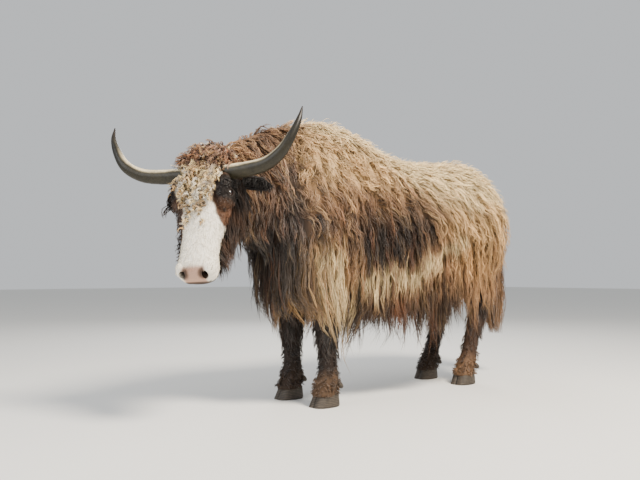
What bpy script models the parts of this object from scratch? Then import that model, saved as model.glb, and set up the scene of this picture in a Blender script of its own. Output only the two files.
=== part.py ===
"""A standing domestic yak, life size, as a still museum model.

Metres, +Z up. The yak faces -Y and its left side is +X. The origin is the centre of the
bounding box on the floor. The trunk, the head and the legs are lofts over named sections,
smoothed by Subdivision Surface. The long coat is made of flat tapered locks that start inside
the trunk, follow the lie of the hair and hang with their own weight. Then the whole is parted
into neck, torso and tail with thin cuts.
"""

import math
import random

import bmesh
import bpy
from mathutils import Matrix, Vector
from mathutils.bvhtree import BVHTree

# Driving sizes
CLEARANCE = 0.0004  # left between two pieces that meet
SHIFT = Vector((-0.032, 0.194, 0.0))  # from body coordinates to the centre of the bounding box

FORE_FOOT_Y = -0.52
HIND_FOOT_Y = 0.53
FOOT_X = 0.14
HOOF_TOP = 0.058
FOOT_LENGTH = 0.15
CLAW_WIDTH = 0.058
CLEFT = 0.006

# Trunk sections: y, centre z, half width, height above and below the centre
TORSO = [
    (-0.80, 0.82, 0.09, 0.12, 0.14),
    (-0.75, 0.85, 0.17, 0.27, 0.22),
    (-0.63, 0.90, 0.255, 0.462, 0.345),
    (-0.46, 0.91, 0.288, 0.494, 0.37),
    (-0.28, 0.90, 0.30, 0.472, 0.37),
    (-0.06, 0.88, 0.325, 0.385, 0.38),
    (0.20, 0.88, 0.34, 0.395, 0.38),
    (0.50, 0.885, 0.325, 0.425, 0.335),
    (0.72, 0.90, 0.295, 0.405, 0.28),
    (0.85, 0.91, 0.235, 0.31, 0.24),
    (0.92, 0.92, 0.12, 0.18, 0.15),
]
# Height of the coat's hem over the floor, by y
HEM = [
    (-0.80, 0.48),
    (-0.70, 0.38),
    (-0.52, 0.30),
    (-0.36, 0.25),
    (0.0, 0.28),
    (0.30, 0.32),
    (0.50, 0.37),
    (0.95, 0.37),
]

# Neck sections: x, y, z of the centre, heading in degrees, half width, above, below
NECK = [
    (0.0, -0.56, 0.98, 0, 0.20, 0.385, 0.32),
    (0.0, -0.70, 0.99, 2, 0.195, 0.383, 0.30),
    (0.0, -0.82, 1.00, 8, 0.165, 0.333, 0.25),
    (0.01, -0.94, 1.00, 20, 0.14, 0.265, 0.20),
    (0.025, -1.04, 1.00, 34, 0.125, 0.205, 0.17),
    (0.07, -1.12, 1.00, 40, 0.11, 0.15, 0.14),
]
# Tail core sections: y, z, half width, half depth
TAIL = [
    (0.86, 1.17, 0.035, 0.035),
    (0.94, 1.14, 0.033, 0.033),
    (0.99, 1.02, 0.030, 0.026),
    (1.000, 0.72, 0.034, 0.026),
    (1.000, 0.50, 0.015, 0.014),
]
TAIL_TIP_Z = 0.21
NECK_CUT = (Vector((0, -0.785, 1.03)), Vector((0, -0.98, 0.20)))
TAIL_CUT = (Vector((0, 0.955, 1.0)), Vector((0, 1, 0)))

# The head's own frame, at the poll between the horns
POLL = Vector((0.08, -1.17, 1.145))
HEADING = math.radians(36)
PITCH = math.radians(66)
ROLL = math.radians(3)
# Head sections: distance from the poll along the face, centre, half width, above, below
HEAD = [
    (-0.065, -0.075, 0.075, 0.050, 0.060),
    (-0.03, -0.070, 0.115, 0.075, 0.110),
    (0.04, -0.070, 0.133, 0.084, 0.160),
    (0.12, -0.072, 0.136, 0.080, 0.190),
    (0.20, -0.085, 0.128, 0.079, 0.190),
    (0.28, -0.095, 0.112, 0.075, 0.162),
    (0.36, -0.098, 0.090, 0.067, 0.125),
    (0.43, -0.102, 0.085, 0.066, 0.092),
    (0.49, -0.106, 0.092, 0.064, 0.074),
    (0.53, -0.109, 0.083, 0.052, 0.060),
    (0.55, -0.111, 0.055, 0.028, 0.034),
]
# Places on the head, as along the face, to its left and up from it
EYE_PLACE = Vector((0.185, 0.120, -0.042))
EYE_LOOK = Vector((-0.10, 0.84, 0.50))
EYE_RADIUS = 0.019
LID_OPENING = (0.020, 0.0115)
HORN_BASE = Vector((0.075, 0.112, -0.035))
EAR_BASE = Vector((0.086, 0.128, -0.112))
EAR_LENGTH = 0.15
EAR_SWEEP = {1: 0.30, -1: 1.25}  # how far the left and the right ear turn back
EAR_WIDTH = 0.075
EAR_WALL = 0.006
NOSTRIL = Vector((0.532, 0.043, -0.088))
NOSTRIL_RADII = (0.019, 0.022, 0.009)
NOSTRIL_WING = Vector((0.512, 0.056, -0.085))
WING_RADII = (0.036, 0.033, 0.034)
BROW_RADII = (0.062, 0.036, 0.050)
BROW_DEPTH = 0.016
LOWER_LIP = Vector((0.492, 0, -0.165))
LIP_RADII = (0.042, 0.058, 0.024)
MOUTH_HEIGHT = -0.138
MOUTH_CORNER = 0.44
MOUTH_LINE = 0.0035
# Horn: offset from its base sideways, up and forward, and radius
HORN = [
    (-0.02, -0.005, 0.0, 0.035),
    (0.10, 0.0, 0.01, 0.033),
    (0.18, 0.015, 0.02, 0.030),
    (0.245, 0.055, 0.03, 0.026),
    (0.29, 0.12, 0.02, 0.021),
    (0.32, 0.19, 0.0, 0.014),
    (0.33, 0.25, -0.03, 0.003),
]

# Locks: how deep their roots sit, how many spans they have, and the share of the full width
# and thickness at the end of each span
LOCK_SINK = 0.020
LOCK_WIDTHS = (0.62, 1.0, 0.92, 0.56)
LOCK_DEPTHS = (1.0, 0.95, 0.80, 0.55)
# Rows of locks on the torso: angle from the top, spacing, length, width, thickness, lift of the tip
TORSO_ROWS = [
    (3, 0.236, 0.29, 0.200, 0.026, 0.028),
    (41, 0.205, 0.35, 0.182, 0.024, 0.040),
    (76, 0.185, 0.43, 0.170, 0.024, 0.042),
    (110, 0.160, 0.48, 0.148, 0.024, 0.036),
]
TORSO_SPAN = (-0.68, 0.74)
# Rows round the neck: share of the way to the head, length, width
NECK_ROWS = [(0.30, 0.27, 0.145), (0.56, 0.21, 0.125), (0.82, 0.13, 0.105)]
NECK_ANGLES = (10, 54, 98)
# Rows that hang on the chest and on the rump: height, length, angles from the midline
CHEST_ROWS = [
    (0.90, 0.34, (-44, 0, 44)),
    (0.76, 0.28, (-22, 22)),
    (0.78, 0.46, (-72, 72)),
    (0.64, 0.30, (-50, 50)),
]
RUMP_ROWS = [
    (1.08, 0.40, (-48, -16, 16, 48)),
    (0.88, 0.46, (-30, 30)),
]
# Width, thickness and lift of the locks on the chest and rump
END_LOCK = (0.115, 0.028, 0.030)
# Thickness and lift of the locks round the neck
NECK_LOCK = (0.028, 0.034)
FRONT_CENTRE = -0.55
REAR_CENTRE = 0.62
# Locks of the tail: height of their roots, lift, angles round the dock
TAIL_ROWS = [
    (0.88, 0.026, (30, 150, 270)),
    (0.62, 0.006, (90, 210, 330)),
]
TAIL_LOCK = (0.42, 0.060, 0.022)  # length, width, thickness

# Curls on the poll and forehead: radius, distance apart, rows, and the first row's place
CURL_RADIUS = 0.037
CURL_PITCH = 0.062
CURL_COUNT = 5
CURL_FIRST = -0.045
# How far to each side the curls reach, up to a distance from the poll along the face
CURL_REACH = [
    (0.03, 0.105),
    (0.14, 0.082),
    (0.40, 0.060),
]
HORN_ROOM = 0.060  # no curl's middle is nearer to a horn's base

# Leg sections: z, shift in y from the foot, half width, half length
FORE_LEG = [
    (0.64, 0.02, 0.078, 0.105),
    (0.50, 0.01, 0.064, 0.078),
    (0.37, -0.005, 0.056, 0.062),
    (0.27, 0.00, 0.047, 0.050),
    (0.165, 0.005, 0.045, 0.050),
    (0.125, 0.00, 0.053, 0.060),
    (0.09, -0.01, 0.052, 0.058),
    (0.04, -0.02, 0.060, 0.068),
]
HIND_LEG = [
    (0.68, 0.05, 0.082, 0.135),
    (0.57, 0.09, 0.066, 0.098),
    (0.45, 0.125, 0.050, 0.072),
    (0.36, 0.10, 0.044, 0.054),
    (0.18, 0.04, 0.043, 0.050),
    (0.13, 0.02, 0.051, 0.060),
    (0.09, 0.00, 0.051, 0.058),
    (0.04, -0.015, 0.060, 0.068),
]
# Claw levels: height, how far the toe has moved back, how much narrower it is
CLAW_LEVELS = [
    (0.0, 0.0, 0.0),
    (0.03, 0.012, 0.002),
    (HOOF_TOP - CLEARANCE, 0.030, 0.006),
]
TOE_SHARE = 0.62  # of the foot's length that lies before the leg's line
DEWCLAW = Vector((0.026, 0.055, 0.098))
DEWCLAW_RADII = (0.014, 0.024, 0.014)
HIND_DEWCLAW_SHIFT = 0.018

SHARP_ANGLE = math.radians(50)
# Node colour and roughness, by the first word of the node's name
FINISH = {
    "torso": ("#A98258", 0.9),
    "neck": ("#6E4A30", 0.9),
    "tail": ("#8A6138", 0.9),
    "head": ("#E4D3B4", 0.85),
    "ear": ("#2A1A12", 0.85),
    "eye": ("#120C08", 0.1),
    "horn": ("#4A4638", 0.4),
    "leg": ("#3A2418", 0.85),
    "claw": ("#6B6257", 0.5),
    "dewclaw": ("#4C443C", 0.5),
}


def clear_scene():
    for obj in list(bpy.data.objects):
        bpy.data.objects.remove(obj, do_unlink=True)


def new_collection(name):
    made = bpy.data.collections.new(name)
    bpy.context.scene.collection.children.link(made)
    return made


def linear(hex_colour):
    """An sRGB hex colour as linear RGBA."""
    parts = [int(hex_colour[i : i + 2], 16) / 255 for i in (1, 3, 5)]
    return [c / 12.92 if c <= 0.04045 else ((c + 0.055) / 1.055) ** 2.4 for c in parts] + [1.0]


def material(name):
    colour, roughness = FINISH[name]
    made = bpy.data.materials.get(name) or bpy.data.materials.new(name)
    made.use_nodes = True
    shader = made.node_tree.nodes["Principled BSDF"]
    shader.inputs["Base Color"].default_value = linear(colour)
    shader.inputs["Roughness"].default_value = roughness
    shader.inputs["Metallic"].default_value = 0.0
    return made


def add_mesh(name, bm, collection):
    """An object from a bmesh, with its faces turned outwards."""
    bmesh.ops.recalc_face_normals(bm, faces=bm.faces)
    if volume_of(bm.faces) < 0:
        bmesh.ops.reverse_faces(bm, faces=bm.faces)
    mesh = bpy.data.meshes.new(name)
    bm.to_mesh(mesh)
    bm.free()
    obj = bpy.data.objects.new(name, mesh)
    collection.objects.link(obj)
    return obj


def applied(obj):
    """The object with its modifiers worked into its mesh, in triangles."""
    bpy.context.view_layer.update()
    graph = bpy.context.evaluated_depsgraph_get()
    mesh = bpy.data.meshes.new_from_object(obj.evaluated_get(graph))
    obj.modifiers.clear()
    obj.data = mesh
    bm = bmesh.new()
    bm.from_mesh(mesh)
    bmesh.ops.triangulate(bm, faces=bm.faces)
    bm.to_mesh(mesh)
    bm.free()
    return obj


def oval(centre, side, up, half_width, above, below, sides):
    """Points round an oval section, swollen so that its smoothed line has the named size."""
    swell = 6 / (4 + 2 * math.cos(2 * math.pi / sides))
    points = []
    for k in range(sides):
        angle = 2 * math.pi * k / sides
        height = above if math.sin(angle) > 0 else below
        points.append(centre + swell * (side * math.cos(angle) * half_width + up * math.sin(angle) * height))
    return points


def loft(name, rings, collection, levels=1):
    """A closed skin over rings of equal count, smoothed by Subdivision Surface."""
    bm = bmesh.new()
    rows = [[bm.verts.new(p) for p in points] for points in rings]
    for row, following in zip(rows, rows[1:]):
        for k in range(len(row)):
            after = (k + 1) % len(row)
            bm.faces.new((row[k], row[after], following[after], following[k]))
    bm.faces.new(rows[0])
    bm.faces.new(rows[-1])
    obj = add_mesh(name, bm, collection)
    if levels:
        smooth = obj.modifiers.new("smooth", "SUBSURF")
        smooth.levels = levels
        smooth.render_levels = levels
    return applied(obj)


def combine(obj, others, operation):
    """Joins or cuts with every object of a collection at once, then removes them.

    The manifold solver is used because the exact one leaves open edges where many locks and
    curls cross.
    """
    modifier = obj.modifiers.new(operation.lower(), "BOOLEAN")
    modifier.operation = operation
    modifier.operand_type = "COLLECTION"
    modifier.collection = others
    modifier.solver = "MANIFOLD"
    applied(obj)
    for other in list(others.objects):
        bpy.data.objects.remove(other, do_unlink=True)
    return obj


def face_groups(bm):
    """Groups of faces that hang together."""
    found = []
    left = set(bm.faces)
    while left:
        stack = [left.pop()]
        group = list(stack)
        while stack:
            for edge in stack.pop().edges:
                for face in edge.link_faces:
                    if face in left:
                        left.remove(face)
                        stack.append(face)
                        group.append(face)
        found.append(group)
    return found


def volume_of(faces):
    """Signed volume inside a closed group of faces."""
    total = 0.0
    for face in faces:
        first, *rest = [v.co for v in face.verts]
        total += sum(first.dot(b.cross(c)) for b, c in zip(rest, rest[1:]))
    return total / 6


def keep_largest(obj):
    """Leaves only the largest closed surface: drops sealed hollows and loose scraps."""
    bm = bmesh.new()
    bm.from_mesh(obj.data)
    groups = sorted(face_groups(bm), key=volume_of, reverse=True)
    scraps = [face for group in groups[1:] for face in group]
    bmesh.ops.delete(bm, geom=scraps, context="FACES")
    bm.to_mesh(obj.data)
    bm.free()
    return obj


def half_space(name, plane, past, collection):
    """A large block on the side of a plane that its normal points into, and a little past it."""
    point, normal = plane
    normal = normal.normalized()
    reach = 3.0
    bm = bmesh.new()
    bmesh.ops.create_cube(bm, size=2 * reach)
    turn = normal.to_track_quat("Z", "Y").to_matrix().to_4x4()
    bm.transform(Matrix.Translation(point + normal * (reach - past)) @ turn)
    return add_mesh(name, bm, collection)


def flipped(plane):
    return plane[0], -plane[1]


def grown_copy(obj, collection, distance=CLEARANCE):
    """A cutter: the same shape, a little larger all round."""
    bm = bmesh.new()
    bm.from_mesh(obj.data)
    for vert in bm.verts:
        vert.co += vert.normal * distance * vert.calc_shell_factor()
    return add_mesh(obj.name + "_cutter", bm, collection)


def ball(name, centre, axes, radii, collection, segments=8, rows=6):
    """A stretched ball; axes has its directions as columns."""
    bm = bmesh.new()
    bmesh.ops.create_uvsphere(bm, u_segments=segments, v_segments=rows, radius=1.0)
    bm.transform(Matrix.Translation(centre) @ axes.to_4x4() @ Matrix.Diagonal((*radii, 1.0)))
    return add_mesh(name, bm, collection)


def tube(name, points, radius, collection):
    """A round bar along a line of points, with closed ends."""
    curve = bpy.data.curves.new(name, "CURVE")
    curve.dimensions = "3D"
    curve.bevel_depth = radius
    curve.bevel_resolution = 1
    curve.use_fill_caps = True
    spline = curve.splines.new("POLY")
    spline.points.add(len(points) - 1)
    for target, point in zip(spline.points, points):
        target.co = (*point, 1.0)
    guide = bpy.data.objects.new(name, curve)
    collection.objects.link(guide)
    bpy.context.view_layer.update()
    graph = bpy.context.evaluated_depsgraph_get()
    bm = bmesh.new()
    bm.from_mesh(bpy.data.meshes.new_from_object(guide.evaluated_get(graph)))
    bmesh.ops.remove_doubles(bm, verts=bm.verts, dist=0.00001)
    bpy.data.objects.remove(guide, do_unlink=True)
    return add_mesh(name, bm, collection)


def head_axes():
    """Directions along the face, to the head's left and up from the face, as columns."""
    forward = Vector((math.sin(HEADING), -math.cos(HEADING), 0))
    level_left = Vector((0, 0, 1)).cross(forward)
    left = level_left * math.cos(ROLL) + Vector((0, 0, 1)) * math.sin(ROLL)
    up = Vector((0, 0, 1)) * math.cos(ROLL) - level_left * math.sin(ROLL)
    along = forward * math.cos(PITCH) - up * math.sin(PITCH)
    face_up = forward * math.sin(PITCH) + up * math.cos(PITCH)
    return Matrix((along, left, face_up)).transposed(), forward, left, up


HEAD_FRAME, HEAD_FORWARD, HEAD_LEFT, HEAD_UP = head_axes()


def on_head(place, sign=1):
    return POLL + HEAD_FRAME @ Vector((place[0], sign * place[1], place[2]))


def frame_about(outward, lengthwise):
    """Axes with one direction outward and the next as near as can be to lengthwise."""
    out = outward.normalized()
    length = (lengthwise - out * lengthwise.dot(out)).normalized()
    return Matrix((length, out, length.cross(out))).transposed()


def torso_rings(sections, grow=0.0, sides=12):
    side, up = Vector((1, 0, 0)), Vector((0, 0, 1))
    return [
        oval(Vector((0, y, z)), side, up, w + grow, above + grow, below + grow, sides)
        for y, z, w, above, below in sections
    ]


def neck_rings(grow=0.0, sides=12):
    rings = []
    for x, y, z, heading, w, above, below in NECK:
        angle = math.radians(heading)
        side, up = Vector((math.cos(angle), math.sin(angle), 0)), Vector((0, 0, 1))
        rings.append(oval(Vector((x, y, z)), side, up, w + grow, above + grow, below + grow, sides))
    return rings


def tail_rings(sides=6):
    centres = [Vector((0, y, z)) for y, z, _, _ in TAIL]
    rings = []
    for k, (_, _, w, depth) in enumerate(TAIL):
        tangent = (centres[min(k + 1, len(TAIL) - 1)] - centres[max(k - 1, 0)]).normalized()
        side = Vector((1, 0, 0))
        rings.append(oval(centres[k], side, side.cross(tangent), w, depth, depth, sides))
    return rings


def leg_rings(sections, x, foot_y, sides=7):
    side, up = Vector((1, 0, 0)), Vector((0, 1, 0))
    return [oval(Vector((x, foot_y + dy, z)), side, up, w, h, h, sides) for z, dy, w, h in sections]


def eye_axes(sign):
    """Axes at an eye: along the face, out of the eye, and across the lids."""
    look = HEAD_FRAME @ Vector((EYE_LOOK.x, sign * EYE_LOOK.y, EYE_LOOK.z))
    return frame_about(look, HEAD_FRAME.col[0])


def make_head(yak):
    """Skull, muzzle, brows and lips, with the gaps of the lids, the nostrils and the mouth cut in."""
    sections = [
        oval(on_head((s, 0, c)), HEAD_FRAME.col[1], HEAD_FRAME.col[2], w, above, below, 12)
        for s, c, w, above, below in HEAD
    ]
    head = loft("head", sections, yak)
    forms = new_collection("head_forms")
    for sign in (1, -1):
        axes = eye_axes(sign)
        brow = on_head(EYE_PLACE, sign) - axes.col[1] * BROW_DEPTH
        ball("brow", brow, axes, BROW_RADII, forms)
        ball("nostril_wing", on_head(NOSTRIL_WING, sign), HEAD_FRAME, WING_RADII, forms)
    ball("lower_lip", on_head(LOWER_LIP), HEAD_FRAME, LIP_RADII, forms, 8, 5)
    combine(head, forms, "UNION")
    openings = new_collection("head_openings")
    for sign in (1, -1):
        axes = eye_axes(sign)
        length, height = LID_OPENING
        gap = on_head(EYE_PLACE, sign) + axes.col[1] * 0.02
        ball("lid_gap", gap, axes, (length, 0.020, height), openings, 12, 6)
        outward = HEAD_FRAME @ Vector((1, 0.9 * sign, 0.3))
        slant = frame_about(outward, HEAD_FRAME @ Vector((0.5, sign, 0.9)))
        nostril = on_head(NOSTRIL, sign) + slant.col[1] * 0.006
        ball("nostril", nostril, slant, NOSTRIL_RADII, openings)
    tube("mouth", mouth_line(head), MOUTH_LINE, openings)
    return combine(head, openings, "DIFFERENCE")


def surface_of(obj):
    """A search tree over an object's faces."""
    bm = bmesh.new()
    bm.from_mesh(obj.data)
    tree = BVHTree.FromBMesh(bm)
    bm.free()
    return tree


def mouth_line(head):
    """The line of the mouth: a level path round the front of the muzzle, on its surface."""
    tree = surface_of(head)
    inside = on_head((MOUTH_CORNER, 0, MOUTH_HEIGHT))
    points = []
    for k in range(11):
        angle = math.radians(-96 + 19.2 * k)
        outward = HEAD_FRAME @ Vector((math.cos(angle), math.sin(angle), -0.06 * abs(math.sin(angle))))
        points.append(tree.ray_cast(inside, outward.normalized())[0])
    return points


def make_eye(name, sign, yak):
    radii = (EYE_RADIUS, EYE_RADIUS, EYE_RADIUS)
    return ball(name, on_head(EYE_PLACE, sign), eye_axes(sign), radii, yak, 10, 7)


def make_horn(name, sign, yak):
    """A horn that leaves the head sideways and then curves up."""
    base = on_head(HORN_BASE, sign)
    centres = [
        base + HEAD_LEFT * sign * aside + HEAD_UP * up + HEAD_FORWARD * fore
        for aside, up, fore, _ in HORN
    ]
    rings = []
    for k, centre in enumerate(centres):
        tangent = (centres[min(k + 1, len(HORN) - 1)] - centres[max(k - 1, 0)]).normalized()
        side = tangent.cross(HEAD_FORWARD).normalized()
        radius = HORN[k][3]
        rings.append(oval(centre, side, tangent.cross(side), radius, radius, radius, 6))
    return loft(name, rings, yak)


def make_ear(name, sign, yak):
    """A cupped leaf on a short root, open forwards and down."""
    base = on_head(EAR_BASE, sign)
    outward = (HEAD_LEFT * sign - HEAD_FORWARD * EAR_SWEEP[sign] - HEAD_UP * 0.05).normalized()
    opening = (HEAD_FORWARD * 0.60 - HEAD_UP * 0.65).normalized()
    axes = frame_about(opening, outward)
    bm = bmesh.new()
    rows = []
    steps, across = 5, 5
    for k in range(steps + 1):
        t = k / steps
        half = EAR_WIDTH / 2 * (0.42 + 0.58 * math.sin(math.pi * min(1, t * 0.62 + 0.19)))
        half *= 1 if t < 0.7 else 1 - 0.8 * ((t - 0.7) / 0.3) ** 1.6
        depth = half * (1.15 - 0.85 * t)
        row = []
        for j in range(across + 1):
            angle = math.pi * j / across
            place = Vector((t * EAR_LENGTH, -depth * math.sin(angle), half * math.cos(angle)))
            row.append(bm.verts.new(base + axes @ place))
        rows.append(row)
    for row, following in zip(rows, rows[1:]):
        for j in range(across):
            bm.faces.new((row[j], row[j + 1], following[j + 1], following[j]))
    ear = add_mesh(name, bm, yak)
    shell = ear.modifiers.new("wall", "SOLIDIFY")
    shell.thickness = EAR_WALL
    shell.offset = 0
    applied(ear)
    root = new_collection(name + "_root")
    ball("root", base + axes @ Vector((0.006, -0.012, 0)), axes, (0.030, 0.026, 0.028), root, 6, 4)
    return combine(ear, root, "UNION")


def make_leg(name, sections, x, foot_y, yak):
    """A leg from inside the trunk down to the flat where its claws begin."""
    leg = loft(name, leg_rings(sections, x, foot_y), yak)
    below = new_collection(name + "_below")
    half_space("floor_side", (Vector((0, 0, HOOF_TOP)), Vector((0, 0, -1))), 0, below)
    return combine(leg, below, "DIFFERENCE")


def claw_outline(x, toe_y, sign, length, width, inset, z):
    """Half of a cloven foot seen from above: flat at the cleft, round outside, blunt in front."""
    points = []
    for k in range(9):
        angle = math.pi * k / 8
        along = 0.5 + 0.5 * math.cos(angle)
        bulge = math.sin(angle) ** 0.7
        y = toe_y + length * (1 - along)
        points.append(Vector((x + sign * (CLEFT / 2 + (width - inset) * bulge), y, z)))
    return points


def make_claw(name, x, foot_y, sign, yak):
    """One of the two claws of a foot, on a flat sole."""
    toe = foot_y - FOOT_LENGTH * TOE_SHARE
    rings = []
    for z, forward, inset in CLAW_LEVELS:
        length = FOOT_LENGTH - forward - inset
        rings.append(claw_outline(x, toe + forward, sign, length, CLAW_WIDTH, inset, z))
    return loft(name, rings, yak, levels=0)


def make_dewclaw(name, x, foot_y, sign, shift, yak):
    """A small blunt horny nub behind the fetlock."""
    place = Vector((x + sign * DEWCLAW.x, foot_y + DEWCLAW.y + shift, DEWCLAW.z))
    axes = frame_about(Vector((0.25 * sign, 1, -0.9)), Vector((1, 0, 0)))
    return ball(name, place, axes, DEWCLAW_RADII, yak, 6, 4)


def cut_by(obj, makers):
    """Cuts an object with the cutters that each maker adds to a collection."""
    cutters = new_collection(obj.name + "_cutters")
    for maker in makers:
        maker(cutters)
    combine(obj, cutters, "DIFFERENCE")
    return keep_largest(obj)


def copy_of(obj, name, collection):
    twin = bpy.data.objects.new(name, obj.data.copy())
    collection.objects.link(twin)
    return twin


def between(rows, y, column=1):
    """A value read between named sections, by their first column."""
    for low, high in zip(rows, rows[1:]):
        if y <= high[0]:
            break
    share = min(1, max(0, (y - low[0]) / (high[0] - low[0])))
    return low[column] + share * (high[column] - low[column])


def lie_of_hair(normal, side):
    """Backwards over the top of the trunk, and down on its flanks, chest and rump."""
    wish = Vector((0.30 * side, 0.35, -1.0))
    return (wish - normal * wish.dot(normal)).normalized()


def drape(surface, root, side, length, lift, rng):
    """Points and outward directions along a lock that lies on the body and then hangs."""
    normal = surface.find_nearest(root)[1]
    point = root - normal * LOCK_SINK
    path = [(point, normal)]
    spans = len(LOCK_WIDTHS)
    bend, phase = rng.uniform(0.15, 0.40), rng.uniform(0, 2 * math.pi)
    for k in range(1, spans + 1):
        share = k / spans
        near, normal, _, _ = surface.find_nearest(point)
        loose = min(1, max(0, ((point - near).dot(normal) - lift) / 0.05, -4 * normal.z))
        heading = lie_of_hair(normal, side).lerp(Vector((0, 0, -1)), loose).normalized()
        heading += heading.cross(normal) * bend * math.sin(phase + 5 * share)
        point = point + heading.normalized() * length / spans
        near, normal, _, _ = surface.find_nearest(point)
        least = (LOCK_SINK + lift) * share ** 0.5 - LOCK_SINK
        height = (point - near).dot(normal)
        rest = 1 if height < least else min(1, max(0, 1 + 4 * normal.z))
        point = point + normal * (least - height) * rest
        path.append((point, normal))
    return path


def make_lock(path, width, thickness, locks):
    """A flat lock that tapers to its tip, with the same triangles on both faces."""
    bm = bmesh.new()
    rings = []
    for k, (centre, normal) in enumerate(path[:-1]):
        tangent = path[k + 1][0] - path[max(k - 1, 0)][0]
        across = tangent.cross(normal).normalized()
        outward = across.cross(tangent).normalized()
        edge = across * width / 2 * LOCK_WIDTHS[k]
        face = outward * thickness / 2 * LOCK_DEPTHS[k]
        corners = (centre + edge, centre + face, centre - edge, centre - face)
        rings.append([bm.verts.new(corner) for corner in corners])
    tip = bm.verts.new(path[-1][0])
    for ring, after in zip(rings, rings[1:]):
        for rim, middle in ((0, 1), (2, 1), (2, 3), (0, 3)):
            bm.faces.new((ring[rim], ring[middle], after[middle]))
            bm.faces.new((ring[rim], after[middle], after[rim]))
    for k in range(4):
        bm.faces.new((rings[-1][k], rings[-1][(k + 1) % 4], tip))
    bm.faces.new((rings[0][0], rings[0][1], rings[0][3]))
    bm.faces.new((rings[0][2], rings[0][1], rings[0][3]))
    return add_mesh("lock", bm, locks)


def hang(surface, start, toward, side, sizes, locks, rng):
    """One lock, rooted where a ray from inside the body leaves it, and kept above the hem."""
    length, width, thickness, lift = sizes
    root = surface.ray_cast(start, toward)[0]
    room = root.z - between(HEM, root.y) + rng.uniform(-0.02, 0.02)
    length = min(length * rng.uniform(0.88, 1.12), room)
    path = drape(surface, root, side, length, lift, rng)
    make_lock(path, width * rng.uniform(0.9, 1.1), thickness, locks)


def add_torso_locks(surface, locks, rng):
    """Rows along the back and flanks, each row set between the locks of the one above."""
    first, last = TORSO_SPAN
    for row, (angle, spacing, length, width, thickness, lift) in enumerate(TORSO_ROWS):
        count = round((last - first) / spacing)
        for k in range(count + 1):
            for side in (1, -1):
                y = first + spacing * (k + 0.5 * (row % 2)) + rng.uniform(-0.2, 0.2) * spacing
                y = min(y, last + 0.05)
                turn = math.radians(angle + rng.uniform(-4, 4))
                toward = Vector((side * math.sin(turn), 0, math.cos(turn)))
                start = Vector((0, y, between(TORSO, y)))
                hang(surface, start, toward, side, (length, width, thickness, lift), locks, rng)


def add_end_locks(surface, rows, centre_y, forward, locks, rng):
    """Locks on the chest, where forward is -1, or on the rump, where it is 1."""
    for z, length, angles in rows:
        for angle in angles:
            turn = math.radians(angle + rng.uniform(-4, 4))
            toward = Vector((math.sin(turn), forward * math.cos(turn), 0))
            side = math.copysign(0.3, angle)
            start = Vector((0, centre_y, z + rng.uniform(-0.02, 0.02)))
            hang(surface, start, toward, side, (length, *END_LOCK), locks, rng)


def add_neck_locks(surface, locks, rng):
    """Rows round the neck, from the shoulders to the head."""
    first, last = NECK[1], NECK[-1]
    rows = [(r[1], r[0], r[2], r[3]) for r in reversed(NECK)]
    for row, (share, length, width) in enumerate(NECK_ROWS):
        y = first[1] + share * (last[1] - first[1])
        start = Vector((between(rows, y, 1), y, between(rows, y, 2)))
        heading = math.radians(between(rows, y, 3))
        for angle in NECK_ANGLES:
            for side in (1, -1):
                turn = math.radians(angle + rng.uniform(-6, 6) + 10 * (row % 2))
                aside = side * math.sin(turn)
                toward = Vector((aside * math.cos(heading), aside * math.sin(heading), math.cos(turn)))
                hang(surface, start, toward, side, (length, width, *NECK_LOCK), locks, rng)


def add_tail_locks(surface, locks, rng):
    """The tail's long hair: locks all round the dock that end together in a brush."""
    longest, width, thickness = TAIL_LOCK
    core = [(-z, y) for y, z, _, _ in TAIL]
    for z, lift, angles in TAIL_ROWS:
        for angle in angles:
            turn = math.radians(angle + rng.uniform(-10, 10))
            start = Vector((0, between(core, -z), z))
            root = surface.ray_cast(start, Vector((math.cos(turn), math.sin(turn), 0)))[0]
            length = min(longest, root.z - TAIL_TIP_Z - rng.uniform(0, 0.06))
            path = drape(surface, root, 0, length, lift, rng)
            make_lock(path, width, thickness, locks)


def make_trunk(yak, others):
    """Neck and torso as one body with its locks, parted with a thin cut, and the tail."""
    rng = random.Random(11)
    forms = new_collection("trunk_forms")
    whole = loft("whole", torso_rings(TORSO), yak)
    loft("neck_form", neck_rings(), forms)
    loft("dock", tail_rings()[:3], forms)
    combine(whole, forms, "UNION")
    tail_whole = loft("tail_whole", tail_rings(), yak)
    bare = surface_of(whole)
    bare_tail = surface_of(tail_whole)
    locks = new_collection("locks")
    add_torso_locks(bare, locks, rng)
    add_end_locks(bare, CHEST_ROWS, FRONT_CENTRE, -1, locks, rng)
    add_end_locks(bare, RUMP_ROWS, REAR_CENTRE, 1, locks, rng)
    add_neck_locks(bare, locks, rng)
    combine(whole, locks, "UNION")
    add_tail_locks(bare_tail, locks, rng)
    combine(tail_whole, locks, "UNION")
    pieces = (
        ("neck", whole, [flipped(NECK_CUT)]),
        ("torso", whole, [NECK_CUT, TAIL_CUT]),
        ("tail", tail_whole, [flipped(TAIL_CUT)]),
    )
    for name, source, planes in pieces:
        piece = copy_of(source, name, yak)
        makers = [lambda c, p=plane: half_space("side", p, CLEARANCE / 2, c) for plane in planes]
        makers += [lambda c, o=other: grown_copy(o, c) for other in others]
        cut_by(piece, makers)
    for source in (whole, tail_whole):
        bpy.data.objects.remove(source, do_unlink=True)


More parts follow.
